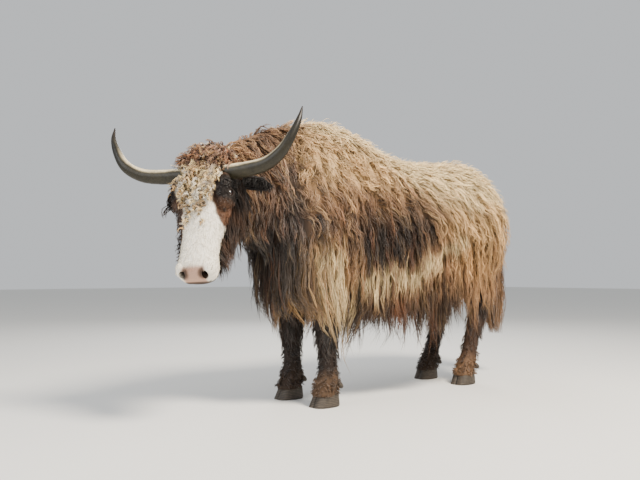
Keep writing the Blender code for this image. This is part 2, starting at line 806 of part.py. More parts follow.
def add_curls(head, rng):
    """Rounded clumps of curly hair, set close over the poll and the forehead."""
    surface = surface_of(head)
    curls = new_collection("curls")
    for row in range(CURL_COUNT):
        along = CURL_FIRST + CURL_PITCH * row
        reach = next(width for limit, width in CURL_REACH if along < limit)
        count = round(2 * reach / CURL_PITCH)
        for k in range(count + 1):
            aside = -reach + 2 * reach * k / count + rng.uniform(-0.004, 0.004)
            above = on_head((along + rng.uniform(-0.004, 0.004), aside, 0.2))
            place = surface.ray_cast(above, -HEAD_FRAME.col[2])[0]
            horn = on_head(HORN_BASE, 1 if aside > 0 else -1)
            if place is None or (place - horn).length < HORN_ROOM:
                continue
            radius = CURL_RADIUS * rng.uniform(0.8, 1.1)
            turn = Matrix.Rotation(rng.uniform(0, 3.0), 3, "Z")
            radii = (radius, radius * 0.8, radius * 0.75)
            ball("curl", place, HEAD_FRAME @ turn, radii, curls, 6, 4)
    return combine(head, curls, "UNION")


def finish(obj):
    """Moves a solid into the row's frame and gives it its material and its shading."""
    obj.data.transform(Matrix.Translation(SHIFT))
    obj.data.materials.clear()
    obj.data.materials.append(material(obj.name.split("_")[0]))
    obj.data.shade_smooth()
    obj.data.set_sharp_from_angle(angle=SHARP_ANGLE)


def main():
    clear_scene()
    yak = new_collection("yak")
    head = add_curls(make_head(yak), random.Random(3))
    small = []
    for side_name, sign in (("left", 1), ("right", -1)):
        eye = make_eye(f"eye_{side_name}", sign, yak)
        cut_by(head, [lambda c: grown_copy(eye, c)])
        small.append(eye)
    for side_name, sign in (("left", 1), ("right", -1)):
        horn = make_horn(f"horn_{side_name}", sign, yak)
        ear = make_ear(f"ear_{side_name}", sign, yak)
        for piece in (horn, ear):
            cut_by(piece, [lambda c: grown_copy(head, c)])
            small.append(piece)
    legs = []
    for name, sections, foot_y in (("fore", FORE_LEG, FORE_FOOT_Y), ("hind", HIND_LEG, HIND_FOOT_Y)):
        for side_name, sign in (("left", 1), ("right", -1)):
            x = sign * FOOT_X
            leg = make_leg(f"leg_{name}_{side_name}", sections, x, foot_y, yak)
            for part_name, part_sign in (("outer", sign), ("inner", -sign)):
                end = f"{name}_{side_name}_{part_name}"
                make_claw(f"claw_{end}", x, foot_y, part_sign, yak)
                shift = 0.0 if name == "fore" else HIND_DEWCLAW_SHIFT
                nub = make_dewclaw(f"dewclaw_{end}", x, foot_y, part_sign, shift, yak)
                cut_by(nub, [lambda c: grown_copy(leg, c)])
            legs.append(leg)
    make_trunk(yak, [head, *small, *legs])
    for obj in yak.objects:
        finish(obj)


main()
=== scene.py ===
# %% [markdown]
# # A long-haired yak
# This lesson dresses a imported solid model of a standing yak. The solids give the true places
# and sizes. Here they get one smooth skin with a finely made head, horns, hooves and wet eyes,
# and a long coat of real strands, so that the model reads as the animal from every side.

import math

import bmesh
import bpy
import numpy as np
from mathutils import Matrix, Vector
from mathutils.bvhtree import BVHTree
from mathutils.kdtree import KDTree


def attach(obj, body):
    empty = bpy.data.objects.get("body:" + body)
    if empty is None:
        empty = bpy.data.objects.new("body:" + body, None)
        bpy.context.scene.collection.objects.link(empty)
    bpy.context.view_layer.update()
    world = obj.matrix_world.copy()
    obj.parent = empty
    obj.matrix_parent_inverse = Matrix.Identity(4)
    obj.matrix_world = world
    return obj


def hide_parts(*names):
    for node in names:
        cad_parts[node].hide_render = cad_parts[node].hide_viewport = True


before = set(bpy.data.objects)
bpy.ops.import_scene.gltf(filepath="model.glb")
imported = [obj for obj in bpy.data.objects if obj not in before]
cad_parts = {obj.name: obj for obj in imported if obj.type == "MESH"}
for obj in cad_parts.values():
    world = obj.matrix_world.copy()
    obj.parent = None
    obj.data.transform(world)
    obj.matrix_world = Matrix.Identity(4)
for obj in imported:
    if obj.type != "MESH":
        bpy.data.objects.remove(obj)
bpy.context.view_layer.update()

# %% [markdown]
# ## Where things are
# All the sizes below are metres in the yak's own coordinates, with the shoulders over the fore
# feet. One shift takes them to the frame, whose origin is the middle of the floor under the
# solids. They repeat the sizes that the solids were made from.

# %% Places and sections
SHIFT = np.array((-0.032, 0.194, 0.0))
DOWN = np.array((0.0, 0.0, -1.0))
HOOF_TOP = 0.058
FOOT_X = 0.14
FEET = {"fore": -0.52, "hind": 0.53}

# y, centre z, half width, height above and below the centre, of the skin under the coat
TORSO = [
    (-0.80, 0.80, 0.10, 0.12, 0.14),
    (-0.71, 0.86, 0.20, 0.32, 0.27),
    (-0.62, 0.90, 0.250, 0.440, 0.35),
    (-0.46, 0.90, 0.275, 0.480, 0.37),
    (-0.28, 0.89, 0.285, 0.455, 0.37),
    (-0.08, 0.88, 0.305, 0.380, 0.375),
    (0.12, 0.87, 0.320, 0.370, 0.37),
    (0.34, 0.87, 0.315, 0.385, 0.345),
    (0.54, 0.88, 0.300, 0.400, 0.305),
    (0.70, 0.89, 0.270, 0.375, 0.265),
    (0.82, 0.90, 0.210, 0.290, 0.215),
    (0.89, 0.92, 0.110, 0.180, 0.135),
]
# x, y, z of the centre, heading in degrees, half width, above, below
NECK = [
    (0.0, -0.56, 0.98, 0, 0.180, 0.355, 0.28),
    (0.0, -0.70, 0.99, 2, 0.165, 0.355, 0.26),
    (0.0, -0.82, 1.00, 8, 0.135, 0.305, 0.21),
    (0.01, -0.94, 1.00, 20, 0.112, 0.240, 0.17),
    (0.025, -1.04, 1.00, 34, 0.100, 0.180, 0.15),
    (0.07, -1.12, 1.00, 40, 0.09, 0.13, 0.12),
]
# y, z, half width, half depth
TAIL = [
    (0.82, 1.17, 0.030, 0.030),
    (0.94, 1.14, 0.028, 0.028),
    (0.985, 1.02, 0.022, 0.020),
    (1.000, 0.72, 0.016, 0.014),
    (1.000, 0.52, 0.008, 0.008),
]
# z, shift in y from the foot, half width, half length
LEGS = {
    "fore": [
        (0.68, 0.02, 0.080, 0.110),
        (0.58, 0.015, 0.070, 0.092),
        (0.50, 0.01, 0.060, 0.074),
        (0.42, 0.0, 0.053, 0.060),
        (0.37, -0.005, 0.053, 0.058),
        (0.33, -0.002, 0.046, 0.050),
        (0.27, 0.00, 0.040, 0.044),
        (0.20, 0.004, 0.038, 0.044),
        (0.165, 0.005, 0.041, 0.047),
        (0.125, 0.00, 0.049, 0.056),
        (0.09, -0.01, 0.049, 0.055),
        (0.065, -0.014, 0.055, 0.063),
        (0.052, -0.016, 0.054, 0.062),
    ],
    "hind": [
        (0.70, 0.05, 0.080, 0.135),
        (0.62, 0.07, 0.070, 0.112),
        (0.57, 0.09, 0.062, 0.094),
        (0.50, 0.115, 0.050, 0.074),
        (0.45, 0.125, 0.046, 0.066),
        (0.40, 0.115, 0.042, 0.056),
        (0.36, 0.10, 0.040, 0.050),
        (0.27, 0.07, 0.037, 0.044),
        (0.18, 0.04, 0.039, 0.046),
        (0.13, 0.02, 0.048, 0.057),
        (0.09, 0.00, 0.048, 0.055),
        (0.065, -0.008, 0.055, 0.063),
        (0.052, -0.010, 0.054, 0.062),
    ],
}
# Height of the coat's hem over the floor, by y
HEM = np.array([
    (-0.86, 0.44),
    (-0.74, 0.38),
    (-0.64, 0.32),
    (-0.52, 0.27),
    (-0.45, 0.23),
    (-0.39, 0.28),
    (-0.20, 0.25),
    (0.05, 0.24),
    (0.30, 0.29),
    (0.50, 0.35),
    (0.98, 0.38),
])

POLL = np.array((0.08, -1.17, 1.145))
HEADING = math.radians(36)
PITCH = math.radians(66)
ROLL = math.radians(3)


def unit(vectors):
    """Vectors of length one."""
    vectors = np.asarray(vectors, float)
    return vectors / np.maximum(np.linalg.norm(vectors, axis=-1, keepdims=True), 1e-9)


def head_axes():
    """Directions along the face, to the head's left and up from the face, as columns."""
    forward = np.array((math.sin(HEADING), -math.cos(HEADING), 0.0))
    level_left = np.cross((0, 0, 1), forward)
    left = level_left * math.cos(ROLL) + np.array((0, 0, math.sin(ROLL)))
    up = np.array((0, 0, math.cos(ROLL))) - level_left * math.sin(ROLL)
    along = forward * math.cos(PITCH) - up * math.sin(PITCH)
    face_up = forward * math.sin(PITCH) + up * math.cos(PITCH)
    return np.array((along, left, face_up)).T, forward, left, up


HEAD_FRAME, HEAD_FORWARD, HEAD_LEFT, HEAD_UP = head_axes()


def on_head(place, sign=1):
    """A point from its distances along the face, to the left and up from it."""
    return POLL + HEAD_FRAME @ np.array((place[0], sign * place[1], place[2]))


def in_head(points):
    """The same three distances for points given in the yak's coordinates."""
    return (np.asarray(points) - POLL) @ HEAD_FRAME


def from_pair(points, place):
    """Distance to the nearer of two places, one on each side of the head."""
    return np.minimum(*[np.linalg.norm(points - on_head(place, sign), axis=1) for sign in (1, -1)])


def is_left(points):
    """Whether points are on the left side of the head."""
    return (points - POLL) @ HEAD_LEFT > 0


print("the head looks along", HEAD_FRAME[:, 0].round(2))

# %% [markdown]
# ## Camera, light and floor
# The photograph was taken from a low place before the yak's left shoulder. The camera stands
# there with a matching lens. A museum shows such a model in even light, so a large soft lamp
# stands high on the camera's right, where the light comes from in the photograph, with a fill on
# its left and a third lamp behind the yak.

# %% Camera
CAMERA_PLACE = Vector((2.6016, -2.6312, 0.62))
AZIMUTH = math.radians(50)
TILT = math.radians(3.07)


def linked(name, data):
    """A new object with this data, in the scene."""
    obj = bpy.data.objects.new(name, data)
    bpy.context.scene.collection.objects.link(obj)
    return obj


def facing(direction):
    """The turn that points a camera or a lamp this way."""
    return direction.to_track_quat("-Z", "Y").to_euler()


camera_data = bpy.data.cameras.new("camera")
camera_data.lens = 37.69
camera_data.sensor_width = 36.0
camera = linked("camera", camera_data)
camera.location = CAMERA_PLACE + Vector(SHIFT)
level = math.cos(TILT)
look = Vector((-math.sin(AZIMUTH) * level, math.cos(AZIMUTH) * level, math.sin(TILT)))
camera.rotation_euler = facing(look)
bpy.context.scene.camera = camera

# %% Colours and nodes
def linear(hex_colour):
    """An sRGB hex colour as linear numbers."""
    parts = np.array([int(hex_colour[i : i + 2], 16) / 255 for i in (1, 3, 5)])
    return np.where(parts <= 0.04045, parts / 12.92, ((parts + 0.055) / 1.055) ** 2.4)


def rgba(hex_colour):
    """The same with full opacity, as node inputs take it."""
    return (*linear(hex_colour), 1.0)


def join(tree, source, socket):
    """Links a socket to another node's output, or to the output in use of a node."""
    if isinstance(source, bpy.types.Node):
        source = next(output for output in source.outputs if output.enabled)
    tree.links.new(source, socket)


def add_node(tree, kind, settings=None, **inputs):
    """A node with its settings and its inputs, each a value, a node or a node's output."""
    node = tree.nodes.new(kind)
    for name, value in (settings or {}).items():
        setattr(node, name, value)
    for name, value in inputs.items():
        socket = node.inputs[int(name[1:]) if name[1:].isdigit() else name.replace("_", " ")]
        if isinstance(value, (bpy.types.Node, bpy.types.NodeSocket)):
            join(tree, value, socket)
        else:
            socket.default_value = value
    return node


def maths(tree, operation, *values, kind="Math"):
    """A Math node, or a VectorMath node, with its inputs in order."""
    inputs = {f"i{k}": value for k, value in enumerate(values)}
    return add_node(tree, f"ShaderNode{kind}", {"operation": operation}, **inputs)


def own_place(tree):
    """Place in the object's own coordinates."""
    return add_node(tree, "ShaderNodeTexCoord").outputs["Object"]


def new_material(name, roughness, specular=0.5):
    """A material with a Principled shader, and its node tree."""
    made = bpy.data.materials.new(name)
    made.use_nodes = True
    shader = made.node_tree.nodes["Principled BSDF"]
    shader.inputs["Roughness"].default_value = roughness
    shader.inputs["Specular IOR Level"].default_value = specular
    return made, made.node_tree, shader


def give(tree, shader, colour, height=None, strength=0.0, distance=0.002):
    """Joins a colour to the shader, and relief where there is any."""
    join(tree, colour, shader.inputs["Base Color"])
    if strength:
        relief = add_node(tree, "ShaderNodeBump", Height=height, Strength=strength, Distance=distance)
        join(tree, relief, shader.inputs["Normal"])

# %% Floor and lamps
def area_lamp(name, location, target, size, power, colour):
    """A round lamp that faces a target."""
    lamp = bpy.data.lights.new(name, "AREA")
    lamp.shape = "DISK"
    lamp.size = size
    lamp.energy = power
    lamp.color = linear(colour)
    obj = linked(name, lamp)
    obj.location = location
    obj.rotation_euler = facing(Vector(target) - Vector(location))


area_lamp("key", (2.9, 0.0, 4.4), (0, -0.2, 0.7), 1.5, 640, "#FFF4E4")
area_lamp("fill", (0.2, -4.6, 2.6), (0, 0, 0.8), 3.2, 110, "#F4F8FF")
area_lamp("back", (-3.4, 2.6, 3.4), (0, 0, 0.8), 2.6, 120, "#FFFFFF")

world = bpy.data.worlds.new("studio")
world.use_nodes = True
sky = world.node_tree.nodes["Background"]
sky.inputs["Color"].default_value = rgba("#EEF1F4")
sky.inputs["Strength"].default_value = 0.78
bpy.context.scene.world = world

bpy.ops.mesh.primitive_plane_add(size=60, location=(0, 0, 0))
floor = bpy.context.object
floor.name = "floor"
floor_paint, tree, shader = new_material("matt floor paint", 0.9, 0.2)
cloud = add_node(tree, "ShaderNodeTexNoise", Scale=3.0, Detail=4.0)
give(tree, shader, add_node(
    tree, "ShaderNodeMix", {"data_type": "RGBA"}, Factor=cloud, A=rgba("#D9D8D4"), B=rgba("#DFDEDA"),
))
floor.data.materials.append(floor_paint)
print("camera", [round(v, 3) for v in camera.location])

# %% [markdown]
# ## Mesh tools
# A strand coat has a million faces, so meshes are filled from arrays here and not face by face.
# Round forms are lofts: rings of points, smoothly drawn between a few named sections.

# %% Meshes from arrays
def mesh_from(name, points, *face_groups):
    """A mesh object from an array of points and arrays of faces with equal side counts."""
    mesh = bpy.data.meshes.new(name)
    mesh.vertices.add(len(points))
    mesh.vertices.foreach_set("co", np.asarray(points, np.float32).ravel())
    sizes = np.concatenate([np.full(len(group), group.shape[1]) for group in face_groups])
    corners = np.concatenate([group.ravel() for group in face_groups]).astype(np.int32)
    mesh.loops.add(len(corners))
    mesh.loops.foreach_set("vertex_index", corners)
    mesh.polygons.add(len(sizes))
    mesh.polygons.foreach_set("loop_start", (np.cumsum(sizes) - sizes).astype(np.int32))
    mesh.update(calc_edges=True)
    mesh.shade_smooth()
    return linked(name, mesh)


def read(items, key, width, kind=np.float32):
    """A layer of a mesh as an array with a row for each item."""
    values = np.empty(len(items) * width, kind)
    items.foreach_get(key, values)
    return values.reshape(-1, width)


def turned_out(obj):
    """The same closed mesh with its faces pointing outwards."""
    bm = bmesh.new()
    bm.from_mesh(obj.data)
    bmesh.ops.remove_doubles(bm, verts=bm.verts, dist=1e-6)
    bmesh.ops.recalc_face_normals(bm, faces=bm.faces)
    if bm.calc_volume(signed=True) < 0:
        bmesh.ops.reverse_faces(bm, faces=bm.faces)
    bm.to_mesh(obj.data)
    bm.free()
    obj.data.shade_smooth()
    return obj


def smooth_rows(rows, per_span):
    """More rows between the named ones, on a smooth curve through them."""
    rows = np.array(rows, float)
    padded = np.vstack([2 * rows[0] - rows[1], rows, 2 * rows[-1] - rows[-2]])
    made = []
    for a, b, c, d in zip(padded, padded[1:], padded[2:], padded[3:]):
        for t in np.arange(per_span) / per_span:
            bend = (-a + c) * t + (2 * a - 5 * b + 4 * c - d) * t**2 + (-a + 3 * b - 3 * c + d) * t**3
            made.append(b + bend / 2)
    made.append(rows[-1])
    return np.array(made)


def loft(name, rings):
    """A closed tube over rings of points, with a fan at each end."""
    rings = np.asarray(rings, float)
    rows, sides = rings.shape[:2]
    points = np.vstack([rings.reshape(-1, 3), rings[0].mean(0), rings[-1].mean(0)])
    j = np.arange(sides)
    after = (j + 1) % sides
    row = (np.arange(rows - 1) * sides)[:, None]
    quads = np.stack([row + j, row + after, row + sides + after, row + sides + j], -1)
    last = (rows - 1) * sides
    start = np.stack([after, j, np.full(sides, rows * sides)], -1)
    end = np.stack([last + j, last + after, np.full(sides, rows * sides + 1)], -1)
    return turned_out(mesh_from(name, points, quads.reshape(-1, 4), np.vstack([start, end])))


def ring(centre, side, up, width, above, below, sides=24, power=1.0):
    """Points round an oval; a power under 1 makes it fuller at its corners."""
    angle = 2 * np.pi * np.arange(sides) / sides
    cos, sin = np.cos(angle), np.sin(angle)
    cos = np.sign(cos) * np.abs(cos) ** power
    sin = np.sign(sin) * np.abs(sin) ** power
    height = np.where(sin > 0, above, below) * sin
    return centre + np.outer(cos * width, side) + np.outer(height, up)


def ball(name, centre, axes, radii, segments=32, rows=20):
    """A stretched ball; axes has its directions as columns."""
    bm = bmesh.new()
    bmesh.ops.create_uvsphere(bm, u_segments=segments, v_segments=rows, radius=1.0)
    mesh = bpy.data.meshes.new(name)
    bm.to_mesh(mesh)
    bm.free()
    turn = np.eye(4)
    turn[:3, :3] = np.asarray(axes) @ np.diag(radii)
    turn[:3, 3] = centre
    mesh.transform(Matrix(turn.tolist()))
    return turned_out(linked(name, mesh))


def frame_about(outward, lengthwise):
    """Axes with the second outward and the first as near as can be to lengthwise."""
    out = unit(outward)
    length = unit(np.asarray(lengthwise) - out * np.dot(lengthwise, out))
    return np.array((length, out, np.cross(length, out))).T


def evaluated_mesh(obj):
    """A plain mesh of the object as its modifiers leave it."""
    graph = bpy.context.evaluated_depsgraph_get()
    graph.update()
    return bpy.data.meshes.new_from_object(obj.evaluated_get(graph))


def applied(obj):
    """The object with its modifiers worked into its mesh."""
    mesh = evaluated_mesh(obj)
    obj.modifiers.clear()
    obj.data = mesh
    mesh.shade_smooth()
    return obj


def fused(name, pieces, voxel, smoothing):
    """One closed skin over overlapping pieces, made by a voxel remesh and smoothed a little."""
    bm = bmesh.new()
    for piece in pieces:
        bm.from_mesh(piece.data)
        bpy.data.objects.remove(piece, do_unlink=True)
    mesh = bpy.data.meshes.new(name)
    bm.to_mesh(mesh)
    bm.free()
    obj = linked(name, mesh)
    remesh = obj.modifiers.new("remesh", "REMESH")
    remesh.mode = "VOXEL"
    remesh.voxel_size = voxel
    smooth = obj.modifiers.new("smooth", "SMOOTH")
    smooth.iterations = smoothing
    smooth.factor = 0.5
    return applied(obj)


def combine(obj, others, operation):
    """Joins or cuts with several closed pieces at once, and removes them."""
    holder = bpy.data.collections.new(operation.lower())
    bpy.context.scene.collection.children.link(holder)
    for other in others:
        holder.objects.link(other)
    cut = obj.modifiers.new("boolean", "BOOLEAN")
    cut.operation = operation
    cut.operand_type = "COLLECTION"
    cut.collection = holder
    cut.solver = "MANIFOLD"
    applied(obj)
    for other in others:
        bpy.data.objects.remove(other, do_unlink=True)
    bpy.data.collections.remove(holder)
    return obj

# %% [markdown]
# ## The trunk and the legs
# Under its coat a yak is built like other cattle, with a high hump of spines and muscle over
# the shoulders. Each form is a loft over its sections, and a voxel remesh melts torso, neck and
# dock into one skin with no seam.

# %% Trunk and legs
X, Y, Z = np.eye(3)


def torso_form():
    return loft("torso_form", [
        ring(np.array((0, y, z)), X, Z, width, above, below, 40)
        for y, z, width, above, below in smooth_rows(TORSO, 5)
    ])


def neck_form():
    rings = []
    for x, y, z, heading, width, above, below in smooth_rows(NECK, 5):
        angle = math.radians(heading)
        side = np.array((math.cos(angle), math.sin(angle), 0))
        rings.append(ring(np.array((x, y, z)), side, Z, width, above, below, 36))
    return loft("neck_form", rings)


def tail_form():
    rows = smooth_rows(TAIL, 5)
    centres = np.array([(0, y, z) for y, z, _, _ in rows])
    tangents = unit(np.gradient(centres, axis=0))
    return loft("tail_form", [
        ring(centre, X, np.cross(X, tangent), row[2], row[3], row[3], 16)
        for centre, tangent, row in zip(centres, tangents, rows)
    ])


def leg_form(kind, sign):
    foot = np.array((sign * FOOT_X, FEET[kind], 0))
    rings = []
    for z, dy, width, length in smooth_rows(LEGS[kind], 4):
        centre = foot + (0, dy, z)
        rings.append(ring(centre, X, Y, width, length, length, 28, 0.94))
    return loft(f"leg_{kind}_{sign}", rings)


trunk = fused("trunk", [torso_form(), neck_form(), tail_form()], 0.012, 6)
legs = {(kind, sign): leg_form(kind, sign) for kind in FEET for sign in (1, -1)}
print("trunk", len(trunk.data.polygons), "faces")

# %% [markdown]
# ## The head
# The head gets the most care. Its sections run from the poll to the lips. Brows, cheek bones,
# chewing muscles, nostril wings, lips and lids are added as full forms and melted together in
# a fine remesh. Then the eye openings and nostrils are cut, and the line of the mouth is
# pressed in.

# %% Head sections
# distance from the poll along the face, centre, half width, above, below, pinch of the jaw
HEAD = [
    (-0.065, -0.075, 0.070, 0.046, 0.056, 0.0),
    (-0.03, -0.070, 0.108, 0.070, 0.104, 0.0),
    (0.04, -0.070, 0.126, 0.078, 0.152, 0.10),
    (0.12, -0.072, 0.128, 0.076, 0.182, 0.25),
    (0.20, -0.085, 0.119, 0.076, 0.184, 0.36),
    (0.28, -0.095, 0.102, 0.073, 0.158, 0.38),
    (0.36, -0.098, 0.085, 0.065, 0.122, 0.30),
    (0.43, -0.102, 0.080, 0.063, 0.089, 0.20),
    (0.49, -0.106, 0.087, 0.061, 0.071, 0.10),
    (0.53, -0.109, 0.080, 0.050, 0.058, 0.0),
    (0.552, -0.111, 0.054, 0.028, 0.034, 0.0),
]
EYE_PLACE = np.array((0.185, 0.120, -0.042))
EYE_LOOK = np.array((-0.10, 0.84, 0.50))
EYE_RADIUS = 0.019
HORN_BASE = np.array((0.075, 0.112, -0.035))
EAR_BASE = np.array((0.086, 0.128, -0.112))
EAR_LENGTH = 0.15
EAR_WIDTH = 0.075
EAR_WALL = 0.012
EAR_SWEEP = {1: 0.30, -1: 1.25}
NOSTRIL = np.array((0.522, 0.038, -0.082))
MOUTH_HEIGHT = -0.140


def head_form():
    rings = []
    for along, centre, width, above, below, pinch in smooth_rows(HEAD, 4):
        points = ring(np.zeros(3), Y, Z, width, above, below, 48, 0.88)
        low = np.clip(-points[:, 2] / below, 0, 1)
        points[:, 1] *= 1 - pinch * low**1.5
        points += (along, 0, centre)
        rings.append(POLL + points @ HEAD_FRAME.T)
    return loft("head_form", rings)


def eye_axes(sign):
    """Axes at an eye: along the face, out of the eye, and across the lids."""
    look = HEAD_FRAME @ (EYE_LOOK * (1, sign, 1))
    return frame_about(look, HEAD_FRAME[:, 0])

# %% Lids, wings and lips
LID_STEPS = 40
LID_OPENING = (0.0215, 0.0125)
LID_BALL = 0.0228


def lid_form(sign):
    """The rims of both lids, one closed band round the opening of the eye."""
    axes = eye_axes(sign)
    centre = on_head(EYE_PLACE, sign)
    around = 2 * np.pi * np.arange(8) / 8
    rings = []
    for k in range(LID_STEPS):
        angle = 2 * math.pi * k / LID_STEPS
        place = np.array((LID_OPENING[0] * math.cos(angle), 0.0, LID_OPENING[1] * math.sin(angle)))
        place[1] = math.sqrt(max(0, LID_BALL**2 - place[0] ** 2 - place[2] ** 2))
        out = unit(place + (0, 0.004, 0))
        thick = 0.0050 + 0.0016 * max(0, math.sin(angle) * -sign)
        flow = unit(np.array((-math.sin(angle), 0, math.cos(angle))))
        across = np.cross(flow, out)
        points = place + thick * (np.outer(np.cos(around), out) * 0.8 + np.outer(np.sin(around), across))
        rings.append(centre + points @ axes.T)
    return loft("lid_form", rings + [rings[0]])


def ear_direction(sign):
    """The way an ear points, out from its side of the head."""
    return unit(HEAD_LEFT * sign - HEAD_FORWARD * EAR_SWEEP[sign] - HEAD_UP * 0.05)


def ear_form(sign):
    """A cupped leaf on a short root, open forwards and down."""
    base = on_head(EAR_BASE, sign)
    outward = ear_direction(sign)
    axes = frame_about(HEAD_FORWARD * 0.60 - HEAD_UP * 0.65, outward)
    angle = np.linspace(0, math.pi, 13)
    inner, outer = [], []
    for t in np.linspace(-0.12, 1, 18):
        full = 0.42 + 0.58 * math.sin(math.pi * min(1, max(t, 0) * 0.62 + 0.19))
        half = EAR_WIDTH / 2 * full * (1 if t < 0.7 else 1 - 0.85 * ((t - 0.7) / 0.3) ** 1.6)
        depth = half * (1.15 - 0.85 * max(t, 0))
        curl = np.stack([np.full(13, t * EAR_LENGTH), -depth * np.sin(angle), half * np.cos(angle)], -1)
        middle = curl.mean(0)
        hollow = middle + (curl - middle) * (1 - EAR_WALL / (half + EAR_WALL)) + (0, 0.005, 0)
        outer.append(base + curl @ axes.T)
        inner.append(base + hollow @ axes.T)
    rings = [np.vstack([o, i[::-1]]) for o, i in zip(outer, inner)]
    return loft("ear_form", rings)

# place on the head, and half sizes along, across and up, of the forms on both sides
PAIRED_FORMS = {
    "brow_ridge": ((0.150, 0.098, -0.018), (0.060, 0.036, 0.022)),
    "cheek_bone": ((0.255, 0.086, -0.075), (0.075, 0.024, 0.020)),
    "chewing_muscle": ((0.20, 0.066, -0.155), (0.085, 0.036, 0.072)),
    "nostril_wing": ((0.508, 0.055, -0.085), (0.036, 0.032, 0.033)),
    "upper_lip": ((0.490, 0.050, -0.125), (0.045, 0.036, 0.022)),
}
# the same for those in the middle
MIDDLE_FORMS = {
    "lower_lip": ((0.488, 0, -0.165), (0.042, 0.056, 0.022)),
    "chin": ((0.455, 0, -0.165), (0.050, 0.050, 0.026)),
    "poll_ridge": ((-0.01, 0, -0.035), (0.055, 0.105, 0.045)),
}
BROW_SIZE = (0.060, 0.034, 0.046)
BROW_DEPTH = 0.020


def balls(forms, sign=1):
    return [ball(name, on_head(place, sign), HEAD_FRAME, size) for name, (place, size) in forms.items()]


forms = [head_form()]
for sign in (1, -1):
    axes = eye_axes(sign)
    forms.append(ball("brow", on_head(EYE_PLACE, sign) - axes[:, 1] * BROW_DEPTH, axes, BROW_SIZE))
    forms += [*balls(PAIRED_FORMS, sign), lid_form(sign)]
head = fused("head_skin", forms + balls(MIDDLE_FORMS), 0.003, 3)
print("head", len(head.data.polygons), "faces")

# %% Openings and folds of the head
def press(obj, line, depth, reach):
    """Presses a groove into a mesh along a line of points."""
    points = read(obj.data.vertices, "co", 3)
    normals = read(obj.data.vertices, "normal", 3)
    distance = np.full(len(points), 9.0)
    for place in line:
        distance = np.minimum(distance, np.linalg.norm(points - place, axis=1))
    points -= normals * (depth * np.exp(-((distance / reach) ** 2)))[:, None]
    obj.data.vertices.foreach_set("co", points.ravel())
    obj.data.update()


def surface_tree(obj):
    """A tree that finds the nearest place on a mesh."""
    bm = bmesh.new()
    bm.from_mesh(obj.data)
    tree = BVHTree.FromBMesh(bm)
    bm.free()
    return tree


def mouth_line(tree):
    """A level path round the front of the muzzle, rising a little to its corners."""
    inside = on_head((0.44, 0, MOUTH_HEIGHT))
    points = []
    for angle in np.radians(np.linspace(-100, 100, 120)):
        rise = 0.10 * abs(math.sin(angle)) - 0.04
        direction = HEAD_FRAME @ np.array((math.cos(angle), math.sin(angle), rise))
        hit = tree.ray_cast(Vector(inside), Vector(direction))[0]
        if hit is not None:
            points.append(np.array(hit))
    return np.array(points)

LID_GAP = (0.0185, 0.024, 0.0095)
NOSTRIL_SIZE = (0.024, 0.028, 0.0140)
FOLD = np.array((0.512, 0.070, -0.070))
FOLD_SIZE = (0.018, 0.014, 0.004)

MOUTH = mouth_line(surface_tree(head))
press(head, MOUTH, 0.010, 0.0045)
cutters = []
for sign in (1, -1):
    axes = eye_axes(sign)
    cutters.append(ball("lid_gap", on_head(EYE_PLACE, sign) + axes[:, 1] * 0.022, axes, LID_GAP))
    slant = frame_about(HEAD_FRAME @ (1, 0.9 * sign, 0.3), HEAD_FRAME @ (0.55, sign, 0.9))
    cutters.append(ball("nostril", on_head(NOSTRIL, sign) + slant[:, 1] * 0.008, slant, NOSTRIL_SIZE))
    crease = frame_about(HEAD_FRAME @ (0.4, 0.9 * sign, 0.3), HEAD_FRAME @ (-0.55, sign, 0.2))
    cutters.append(ball("nostril_fold", on_head(FOLD, sign), crease, FOLD_SIZE))
combine(head, cutters, "DIFFERENCE")
combine(head, [ear_form(1), ear_form(-1)], "UNION")
print("head with openings", len(head.data.polygons), "faces")

# %% [markdown]
# ## Markings
# This yak is cream on its hump and croup, tan to rust on its sides, darker in the middle of the
# flank and near black on its chest and legs, with a white blaze. Each marking is a soft patch
# with a place, a reach and a colour. On the head a few patches are painted shade: the right
# cheek, the forehead under the curls, the nostrils and the line under the mouth. The skin and
# every strand read the same patches, so that the colours agree wherever the coat parts.

# %% Palette and patches
PALETTE = {
    "white": "#F8F0E0",
    "cream": "#F2D8A4",
    "straw": "#D8B27C",
    "tan": "#AC835C",
    "golden": "#BA9059",
    "rust": "#84502F",
    "brown": "#593E2C",
    "umber": "#33251C",
    "grey": "#4C423C",
    "black": "#16100D",
    "pink": "#B68A72",
}
COLOUR = {name: linear(value) for name, value in PALETTE.items()}

